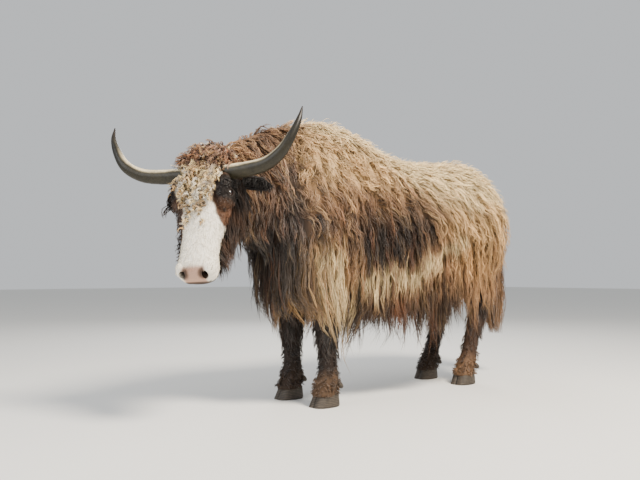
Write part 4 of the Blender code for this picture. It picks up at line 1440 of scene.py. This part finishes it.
def coat_shades(paths, colour_of, locks, lesser, counts, sunned):
    """Colours by row: the markings, shaded by lock, with some pale and some reddish locks."""
    n = len(paths)
    shade = rng.uniform(0.58, 1.24, counts[0])[locks]
    small_shade = rng.uniform(0.66, 1.22, counts[1])[lesser] * rng.uniform(0.80, 1.15, n)
    pale = sunned * (rng.random(counts[1]) < 0.22)[lesser] * rng.uniform(0.1, 0.45, n)
    reddish = (rng.random(counts[0]) < 0.22)[locks] * rng.uniform(0.05, 0.35, n)
    strayed = rng.normal(0, 0.028 * sunned, (counts[0], 3))[locks]
    colours = colour_of((paths + strayed[:, None]).reshape(-1, 3)).reshape(paths.shape)
    seen = 0.3 + 0.7 * step(colours.mean(-1), 0.02, 0.14)
    colours = mixed(mixed(colours, "rust", sunned * reddish[:, None]), "straw", pale[:, None] * seen)
    return shaded_roots_pale_tips(colours * (shade * small_shade)[:, None, None], paths.shape[1], 0.36, 1.35)


def coat(
    name, part, roots, out, length_of, colour_of, slot, counts, rows, width, lift, pull, waves,
    lie=lie_of_coat, sunned=1.0,
):
    """A piece of coat; counts has the numbers of leading locks, lesser locks and strands."""
    paths, single, locks, lesser = coat_paths(roots, out, length_of, counts, rows, lift, pull, waves, lie)
    colours = coat_shades(paths, colour_of, locks, lesser, counts, sunned)
    widths = width * rng.uniform(0.65, 1.25, len(single))
    piece = strand_mesh(name, paths, widths, out[single], colours, bake_places(part, roots[single]))
    return place_piece(piece, slot, long_hair)


def hair_material():
    """Hair: satin strands, each with fine grain along its colour."""
    made = coat_material("long yak hair", 0.55, 0.012, 0.0, 0.18)
    made.node_tree.nodes["Principled BSDF"].inputs["Sheen Weight"].default_value = 0.15
    return made


long_hair = hair_material()
DOCK_START = 0.93
NECK_END = -0.74
MIDDLE = 0.05
BACK = {"counts": (900, 2400, 3800), "width": 0.0053, "lift": 0.042, "waves": (0.011, 1.1)}
FLANK = {"counts": (400, 1500, 3900), "width": 0.0053, "lift": 0.055, "waves": (0.017, 1.8)}
NAPE = {"counts": (420, 1600, 3900), "width": 0.0048, "lift": 0.050, "waves": (0.012, 1.3)}

roots, out = roots_on("trunk", 90000, coat_weight)
before_dock = roots[:, 1] <= DOCK_START
roots, out = roots[before_dock], out[before_dock]


def trunk_piece(name, chosen, slot, look):
    """The piece of the trunk's coat that grows from the chosen roots."""
    chosen_roots, chosen_out = roots[chosen], out[chosen]
    return coat(
        name, "trunk", chosen_roots, chosen_out, trunk_length, trunk_colours, slot, rows=7, pull=0.9, **look
    )


on_neck = roots[:, 1] < NECK_END
upper = out[:, 2] > 0.45
front = roots[:, 1] < MIDDLE
left = roots[:, 0] > 0
for end, at_end in (("fore", front), ("hind", ~front)):
    trunk_piece(f"coat_back_{end}", ~on_neck & upper & at_end, "pale_coat", BACK)
    for side, on_side in (("left", left), ("right", ~left)):
        chosen = ~on_neck & ~upper & at_end & on_side
        trunk_piece(f"coat_flank_{end}_{side}", chosen, "pale_coat", FLANK)
trunk_piece("coat_neck", on_neck, "brown_coat", NAPE)

# %% [markdown]
# ## The tail
# The dock is thin and has hair as long as a hand. The tail's long hair hangs round it in a full
# brush, like a horse's, in ninety locks.

# %% Tail hair
TAIL_STRANDS = 1300
TAIL_LOCKS = 90
TAIL_ROWS = 9
# highest root, and how far down the roots go
TAIL_TOP = 1.17
TAIL_FALL = 0.64
# Share of the tail from its root where the hair is short and stands on all sides
SHORT_SHARE = 0.12


def on_dock(centres, out):
    return (centres[:, 1] > 0.87) * (centres[:, 2] > 0.80) * (np.abs(centres[:, 0]) < 0.045) + 1e-9


def dock_length(points, out):
    return np.full(len(points), 0.17)


coat(
    "coat_dock", "trunk", *roots_on("trunk", 2600, on_dock), dock_length, trunk_colours, "brown_coat",
    counts=(70, 260, 900), rows=7, width=0.0054, lift=0.030, pull=0.8, waves=(0.010, 1.2),
)


def tail_roots_and_paths(n):
    """Roots round the dock, the way out from each, its lock, and the path of its strand."""
    share = rng.random(n) ** 1.25
    heights = TAIL_TOP - TAIL_FALL * share
    centre_y = np.interp(heights, (0.52, 0.72, 1.02, 1.14, 1.17), (1.0, 1.0, 0.985, 0.94, 0.86))
    around = rng.uniform(0, 2 * np.pi, n)
    lock = rng.integers(0, TAIL_LOCKS, n)
    lock_around, lock_size = rng.uniform(0, 2 * np.pi, TAIL_LOCKS), rng.uniform(0.6, 1.25, TAIL_LOCKS)
    around = np.where(share > SHORT_SHARE, lock_around[lock] + rng.normal(0, 0.25, n), around)
    cos, sin = np.cos(around), np.sin(around)
    out = unit(np.stack([cos, 0.75 * sin + 0.10, np.full(n, 0.05)], -1))
    radius = np.interp(heights, (0.52, 0.72, 1.02, 1.17), (0.006, 0.012, 0.019, 0.026))
    roots = np.stack([radius * cos, centre_y + radius * sin, heights], -1)
    length = np.minimum(rng.uniform(0.26, 0.48, n), heights - 0.25)
    length = np.where(share < SHORT_SHARE, rng.uniform(0.07, 0.14, n), length)
    steps = np.linspace(0, 1, TAIL_ROWS)
    full = np.sin(np.pi * np.clip((1.2 - heights) / 0.9, 0.08, 1)) * lock_size[lock]
    spread = 0.014 + 0.044 * full
    bow = np.sin(np.pi * np.minimum(steps * 1.1, 1)) * 0.7 + 0.45 * steps
    paths = roots[:, None] + DOWN * (length[:, None] * steps)[..., None]
    paths = paths + out[:, None] * (spread[:, None] * bow)[..., None]
    paths[..., 0] += 0.02 * steps**2
    return roots, out, lock, waved(paths, 0.008, 1.8)


tail_roots, tail_out, lock, tail_paths = tail_roots_and_paths(TAIL_STRANDS)
tail_colours = everywhere(COLOUR["umber"], tail_roots)
tail_colours = mixed(tail_colours, "tan", 0.15 + 0.55 * rng.random(TAIL_LOCKS)[lock])
tail_colours = mixed(tail_colours, "straw", 0.7 * step(tail_roots[:, 2], 0.98, 1.15))
tail_widths = 0.0053 * rng.uniform(0.7, 1.3, TAIL_STRANDS)
tail_shades = shaded_roots_pale_tips(tail_colours * rng.uniform(0.75, 1.15, (TAIL_STRANDS, 1)), TAIL_ROWS, 0.40, 1.25)
tail_places = bake_places("tail", tail_roots)
tail_hair = strand_mesh("coat_tail", tail_paths, tail_widths, tail_out, tail_shades, tail_places)
place_piece(tail_hair, "brown_coat", long_hair)

# %% [markdown]
# ## Curls on the poll and forehead
# Between the horns the hair stands in ringlets. Each is a bundle of strands that winds round
# one line, which rises from the skin and then droops over the face. The ones on the poll are
# red-brown, and those on the forehead are cream and tan.

# %% Curls
def curl_lines(roots, out, length, droop, rows):
    """The middle line of each ringlet: out of the skin, then down over the face."""
    t = np.linspace(0, 1, rows)
    fall = unit(DOWN * 0.8 + HEAD_FORWARD * 0.35 + rng.normal(0, 0.35, (len(roots), 3)))
    rise = out[:, None] * (0.62 * t * (1 - 0.35 * t))[None, :, None]
    sag = fall[:, None] * (droop * t**1.5)[None, :, None]
    return roots[:, None] + (rise + sag) * length[:, None, None]


def curled(lines, radius, turns, each):
    """Strands that wind round each line, close to one another."""
    n, rows, _ = lines.shape
    t = np.linspace(0, 1, rows)
    tangent = unit(np.gradient(lines, axis=1))
    across = unit(np.cross(tangent, (0.2, 0.5, 0.84)))
    second = np.cross(tangent, across)
    made = []
    start = rng.uniform(0, 2 * np.pi, (n, 1))
    way = rng.choice((-1, 1), (n, 1))
    for k in range(each):
        phase = start + way * (2 * np.pi * turns[:, None] * t) + rng.normal(0, 0.28, (n, 1))
        size = radius[:, None] * rng.uniform(0.65, 1.2, (n, 1))
        size = size * (0.35 + 0.65 * np.minimum(t / 0.3, 1)) * (1 - 0.45 * t)
        offset = across * (np.cos(phase) * size)[..., None] + second * (np.sin(phase) * size)[..., None]
        made.append(lines + offset + rng.normal(0, 0.0018, (n, 1, 3)))
    return np.concatenate(made)


RINGLETS = 430
CURL_ROWS = 9
EACH = 7


def on_forehead(centres, out):
    """Between the horns and down the forehead, clear of the horns and the eyes."""
    s, a, c = in_head(centres).T
    width = 0.132 - 0.078 * step(s, 0.04, 0.28)
    inside = (s > -0.07) & (s < 0.34) & (np.abs(a + 0.012) < width) & (c > -0.12)
    clear = (from_pair(centres, HORN_BASE) > 0.038) & (from_pair(centres, EYE_PLACE) > 0.045)
    return (inside & clear) * (1.0 - 0.75 * step(s, 0.18, 0.32)) + 1e-9


def ringlet_colours(roots, s):
    """Cream, white, golden and brown ringlets, and red-brown ones on the poll."""
    n = len(roots)
    on_poll = step(s + 0.02 * ripple(roots, 0.05, 5), 0.070, 0.030)
    colours = everywhere(COLOUR["cream"], roots)
    for name, strength, part in (("white", 0.8, 0.30), ("golden", 0.80, 0.30), ("brown", 0.60, 0.15)):
        colours = mixed(colours, name, strength * (rng.random(n) < part))
    colours = mixed(colours, "rust", np.where(rng.random(n) < 0.80, 0.85, 0.3) * on_poll)
    return mixed(colours, "brown", 0.65 * on_poll * (rng.random(n) < 0.5))


head_roots, head_out = roots_on("head", RINGLETS, on_forehead)
ringlets = len(head_roots)
s = in_head(head_roots)[:, 0]
curl_length = rng.uniform(0.055, 0.085, ringlets) * (1 - 0.45 * step(s, 0.08, 0.22))
lines = curl_lines(head_roots, head_out, curl_length, 0.75, CURL_ROWS)
radii, turns = rng.uniform(0.006, 0.012, ringlets), rng.uniform(1.2, 2.4, ringlets)
curl_paths = curled(lines, radii, turns, EACH)
curl_base = np.tile(ringlet_colours(head_roots, s), (EACH, 1))
curl_shades = shaded_roots_pale_tips(curl_base * rng.uniform(0.70, 1.15, (len(curl_paths), 1)), CURL_ROWS, 0.30, 1.25)
curl_widths = 0.0030 * rng.uniform(0.7, 1.3, len(curl_paths))
curl_out, curl_places = (np.tile(rows, (EACH, 1)) for rows in (head_out, bake_places("head", head_roots)))
curls = strand_mesh("coat_curls", curl_paths, curl_widths, curl_out, curl_shades, curl_places)
place_piece(curls, "face_hair", long_hair)

# %% [markdown]
# ## Hair of the cheeks, jaw, ears and legs
# Behind the eyes the hair is two to ten centimetres long and runs back into the neck, and
# under the jaw it hangs as a beard. The ears are fringed. The upper legs are shaggy, and the
# hair gets shorter towards the hooves. The right side of the head shows only a smooth edge in
# the photograph, so the hair there is shorter.

# %% Lie, length and colour by place
def lie_of_cheek(points, out):
    wish = DOWN * 0.75 - HEAD_FRAME[:, 0] * 0.25 - HEAD_FORWARD * 0.55
    return unit(along_skin(everywhere(wish, points), out))


def lie_of_leg(points, out):
    return unit(along_skin(everywhere(DOWN + Y * 0.15, points), out))


def lie_of_ear(points, out):
    left = is_left(points)[:, None]
    sweep = np.where(left, EAR_SWEEP[1], EAR_SWEEP[-1])
    wish = HEAD_LEFT * np.where(left, 1.0, -1.0) - HEAD_FORWARD * sweep - HEAD_UP * 0.35
    return unit(along_skin(wish, out))


def lie_of_jaw(points, out):
    aside = np.where(is_left(points), 1.0, -0.2)[:, None] * HEAD_LEFT
    wish = DOWN * 0.75 + aside * 0.60 - HEAD_FORWARD * 0.20
    return unit(wish - out * (wish * out).sum(1, keepdims=True) * 0.5)


def on_cheek(centres, out):
    s, a, c = in_head(centres).T
    behind = step(-s, -0.36, -0.24)
    beside = np.maximum(step(np.abs(a), 0.072, 0.092), step(-c, 0.12, 0.16))
    clear = (from_pair(centres, EYE_PLACE) > 0.034) * ~is_ear(centres)
    return behind * beside * clear * (1 + 1.2 * step(-s, -0.12, -0.02)) + 1e-9


def cheek_length(points, out):
    s, a, c = in_head(points).T
    length = 0.022 + 0.030 * step(-s, -0.30, -0.12) + 0.035 * step(-s, -0.12, 0.0)
    length = length + 0.02 * step(-c, 0.16, 0.24)
    near_eye = np.clip((from_pair(points, EYE_PLACE) - 0.028) / 0.065, 0.14, 1)
    return length * np.where(a > 0, 1.0, 0.40) * near_eye


def on_jaw(centres, out):
    s, _, c = in_head(centres).T
    return step(s, 0.02, 0.06) * step(-s, -0.45, -0.40) * step(-c, 0.095, 0.120) * ~is_ear(centres) + 1e-9


def jaw_length(points, out):
    s, a, _ = in_head(points).T
    return (0.185 - 0.095 * step(s, 0.24, 0.42)) * np.where(a > 0, 1.0, 0.30)


def jaw_colours(points):
    """Dark brown, with patches of brown."""
    colours = everywhere(COLOUR["umber"], points)
    return mixed(colours, "brown", 0.8 * step(0.5 + ripple(points, 0.09, 12), 0.0, 1.0))


def on_ear(centres, out):
    return is_ear(centres) + 1e-9


def ear_length(points, out):
    return np.where(is_left(points), 0.034, 0.016)


def on_leg(centres, out):
    """Down to the hoof, and densest at the pastern, where the hair is shortest."""
    return (centres[:, 2] > 0.062) * (1 + 1.2 * step(-centres[:, 2], -0.16, -0.10))


def leg_length(points, out):
    z = points[:, 2]
    behind = step(out[:, 1], 0.2, 0.8)
    fetlock = step(z, 0.075, 0.10) * step(-z, -0.17, -0.12)
    return 0.015 + 0.085 * step(z, 0.18, 0.38) + 0.016 * behind * (fetlock + step(z, 0.14, 0.3))

# %% Cheeks, jaw, ears and legs
coat(
    "coat_cheeks", "head", *roots_on("head", 12000, on_cheek), cheek_length, head_colours, "face_hair",
    counts=(260, 1100, 3300), rows=5, width=0.0030, lift=0.012, pull=0.8, waves=(0.003, 0.8),
    lie=lie_of_cheek, sunned=0.0,
)
coat(
    "coat_jaw", "head", *roots_on("head", 6000, on_jaw), jaw_length, jaw_colours, "brown_coat",
    counts=(220, 900, 2600), rows=6, width=0.0044, lift=0.065, pull=0.75, waves=(0.010, 1.0),
    lie=lie_of_jaw, sunned=0.0,
)
coat(
    "coat_ears", "head", *roots_on("head", 6000, on_ear), ear_length, ear_colours, "dark_hair",
    counts=(90, 400, 1000), rows=5, width=0.0030, lift=0.007, pull=0.7, waves=(0.002, 0.7),
    lie=lie_of_ear, sunned=0.0,
)
for kind in FEET:
    for side, sign in SIDES.items():
        coat(
            f"coat_leg_{kind}_{side}", "leg", *roots_on(f"leg_{kind}_{sign}", 5200, on_leg),
            leg_length, leg_colours, "dark_hair",
            counts=(160, 700, 1900), rows=4, width=0.0046, lift=0.020, pull=0.75, waves=(0.008, 1.0),
            lie=lie_of_leg, sunned=0.0,
        )

# %% [markdown]
# ## Short tufts by Geometry Nodes
# On the front of the face the hair is a centimetre long and lies flat towards the muzzle. A
# Geometry Nodes tree strews points over the skin, sets a small bent cone on each along the lie
# of the hair, and turns the result into plain mesh. The skin's own layers tell it where, which
# way and in what colour.

# %% Layers for the tufts
def store(obj, name, kind, values):
    """Stores a layer of numbers or directions on the points of a mesh."""
    layer = obj.data.attributes.new(name, kind, "POINT")
    key = "vector" if kind == "FLOAT_VECTOR" else "value"
    layer.data.foreach_set(key, np.asarray(values, np.float32).ravel())


def beside_mouth(points, near):
    """Distance to the line of the mouth, for the points that are near it."""
    away = np.full(len(points), 9.0)
    for place in MOUTH[::3]:
        away[near] = np.minimum(away[near], np.linalg.norm(points[near] - place, axis=1))
    return away


skin_points, _, _ = arrays_of(skin)
s, a, c = in_head(skin_points).T
on_face = region_of(skin_points) == 1
mouth_away = beside_mouth(skin_points, np.flatnonzero(on_face & (s > 0.35)))
short = on_face * step(s, 0.02, 0.06) * step(-s, -0.535, -0.50)
short = short * step(from_pair(skin_points, EYE_PLACE), 0.024, 0.030) * step(mouth_away, 0.004, 0.009)
aside = np.sign(a) * 0.35 * step(np.abs(a), 0.02, 0.08)
down = step(np.abs(a), 0.06, 0.1) * 0.5
lie = everywhere(HEAD_FRAME[:, 0], skin_points)
lie = lie + np.outer(aside, HEAD_FRAME[:, 1]) - np.outer(down, HEAD_FRAME[:, 2])
store(skin, "short", "FLOAT", short * ~is_ear(skin_points))
store(skin, "lie", "FLOAT_VECTOR", lie)
flat_places = bake_places("head", skin_points)
store(skin, "place", "FLOAT_VECTOR", np.column_stack([flat_places, np.zeros(len(s))]))

# %% The tree
TUFT_INPUTS = {
    "Tufts per square metre": ("Float", 40000.0),
    "Length": ("Float", 0.012),
    "Thickness": ("Float", 0.0011),
    "Seed": ("Int", 4),
    "Material": ("Material", None),
}


def tuft_tree():
    """Points over the skin, a small bent cone on each, and the result as real mesh."""
    tree = bpy.data.node_groups.new("short tufts", "GeometryNodeTree")
    face = tree.interface
    face.new_socket("Geometry", in_out="INPUT", socket_type="NodeSocketGeometry")
    for name, (kind, value) in TUFT_INPUTS.items():
        socket = face.new_socket(name, in_out="INPUT", socket_type=f"NodeSocket{kind}")
        if value is not None:
            socket.default_value = value
    face.new_socket("Geometry", in_out="OUTPUT", socket_type="NodeSocketGeometry")

    def geometry(kind, settings=None, **inputs):
        return add_node(tree, f"GeometryNode{kind}", settings, **inputs)

    given = add_node(tree, "NodeGroupInput").outputs
    where = geometry("InputNamedAttribute", {"data_type": "FLOAT"}, Name="short")
    density = maths(tree, "MULTIPLY", where, given["Tufts per square metre"])
    points = geometry(
        "DistributePointsOnFaces", {"distribute_method": "RANDOM"},
        Mesh=given["Geometry"], Density=density, Seed=given["Seed"],
    )
    cone = geometry(
        "MeshCone", Vertices=3, Side_Segments=3, Radius_Top=0.0,
        Radius_Bottom=given["Thickness"], Depth=given["Length"],
    )
    laid = geometry("Transform", Geometry=cone, Rotation=(0.0, math.radians(70), 0.0))
    spot = geometry("InputPosition")
    forward = add_node(tree, "ShaderNodeSeparateXYZ", Vector=spot).outputs["X"]
    sag = maths(tree, "MULTIPLY", maths(tree, "MULTIPLY", forward, forward), -14.0)
    bend = add_node(tree, "ShaderNodeCombineXYZ", Z=sag)
    bent = geometry("SetPosition", Geometry=laid, Offset=bend)
    share = maths(tree, "DIVIDE", spot, given["Length"], kind="VectorMath")
    marked = geometry(
        "StoreNamedAttribute", {"data_type": "FLOAT_VECTOR"}, Geometry=bent, Name="patch", Value=share,
    )
    way = geometry("InputNamedAttribute", {"data_type": "FLOAT_VECTOR"}, Name="lie")
    turned = add_node(
        tree, "FunctionNodeAlignRotationToVector", {"axis": "X", "pivot_axis": "Z"},
        Rotation=points.outputs["Rotation"], Vector=way,
    )
    size = add_node(
        tree, "FunctionNodeRandomValue", {"data_type": "FLOAT"}, i2=0.6, i3=1.25, Seed=given["Seed"],
    )
    placed = geometry("InstanceOnPoints", Points=points, Instance=marked, Rotation=turned, Scale=size)
    real = geometry("RealizeInstances", Geometry=placed)
    dressed = geometry("SetMaterial", Geometry=real, Material=given["Material"])
    add_node(tree, "NodeGroupOutput", Geometry=dressed)
    return tree


def strewn(name, obj, tree, settings):
    """Runs a tree on an object and returns its result as a plain mesh object."""
    modifier = obj.modifiers.new("tufts", "NODES")
    modifier.node_group = tree
    for item in tree.interface.items_tree:
        if item.name in settings:
            modifier[item.identifier] = settings[item.name]
    mesh = evaluated_mesh(obj)
    obj.modifiers.remove(modifier)
    mesh.name = name
    return linked(name, mesh)

# %% Tufts on the face
TUFT_DENSITY = 30000.0
wanted = {"Tufts per square metre": TUFT_DENSITY * DENSITY, "Material": short_hair}
tufts = strewn("coat_face_tufts", skin, tuft_tree(), wanted)
mesh = tufts.data
mesh.shade_smooth()
root_places, own_places = (read(mesh.attributes[key].data, "vector", 3)[:, :2] for key in ("place", "patch"))
for layer in list(mesh.uv_layers):
    mesh.uv_layers.remove(layer)
give_bake_map(mesh, root_places + own_places * BAKE_PATCH)
place_piece(tufts, "face_hair", None)
print("face tufts", len(mesh.polygons), "faces")
for name in ("short", "lie", "place"):
    skin.data.attributes.remove(skin.data.attributes[name])

# %% Finish
skin.data.transform(Matrix.Translation(Vector(SHIFT)))
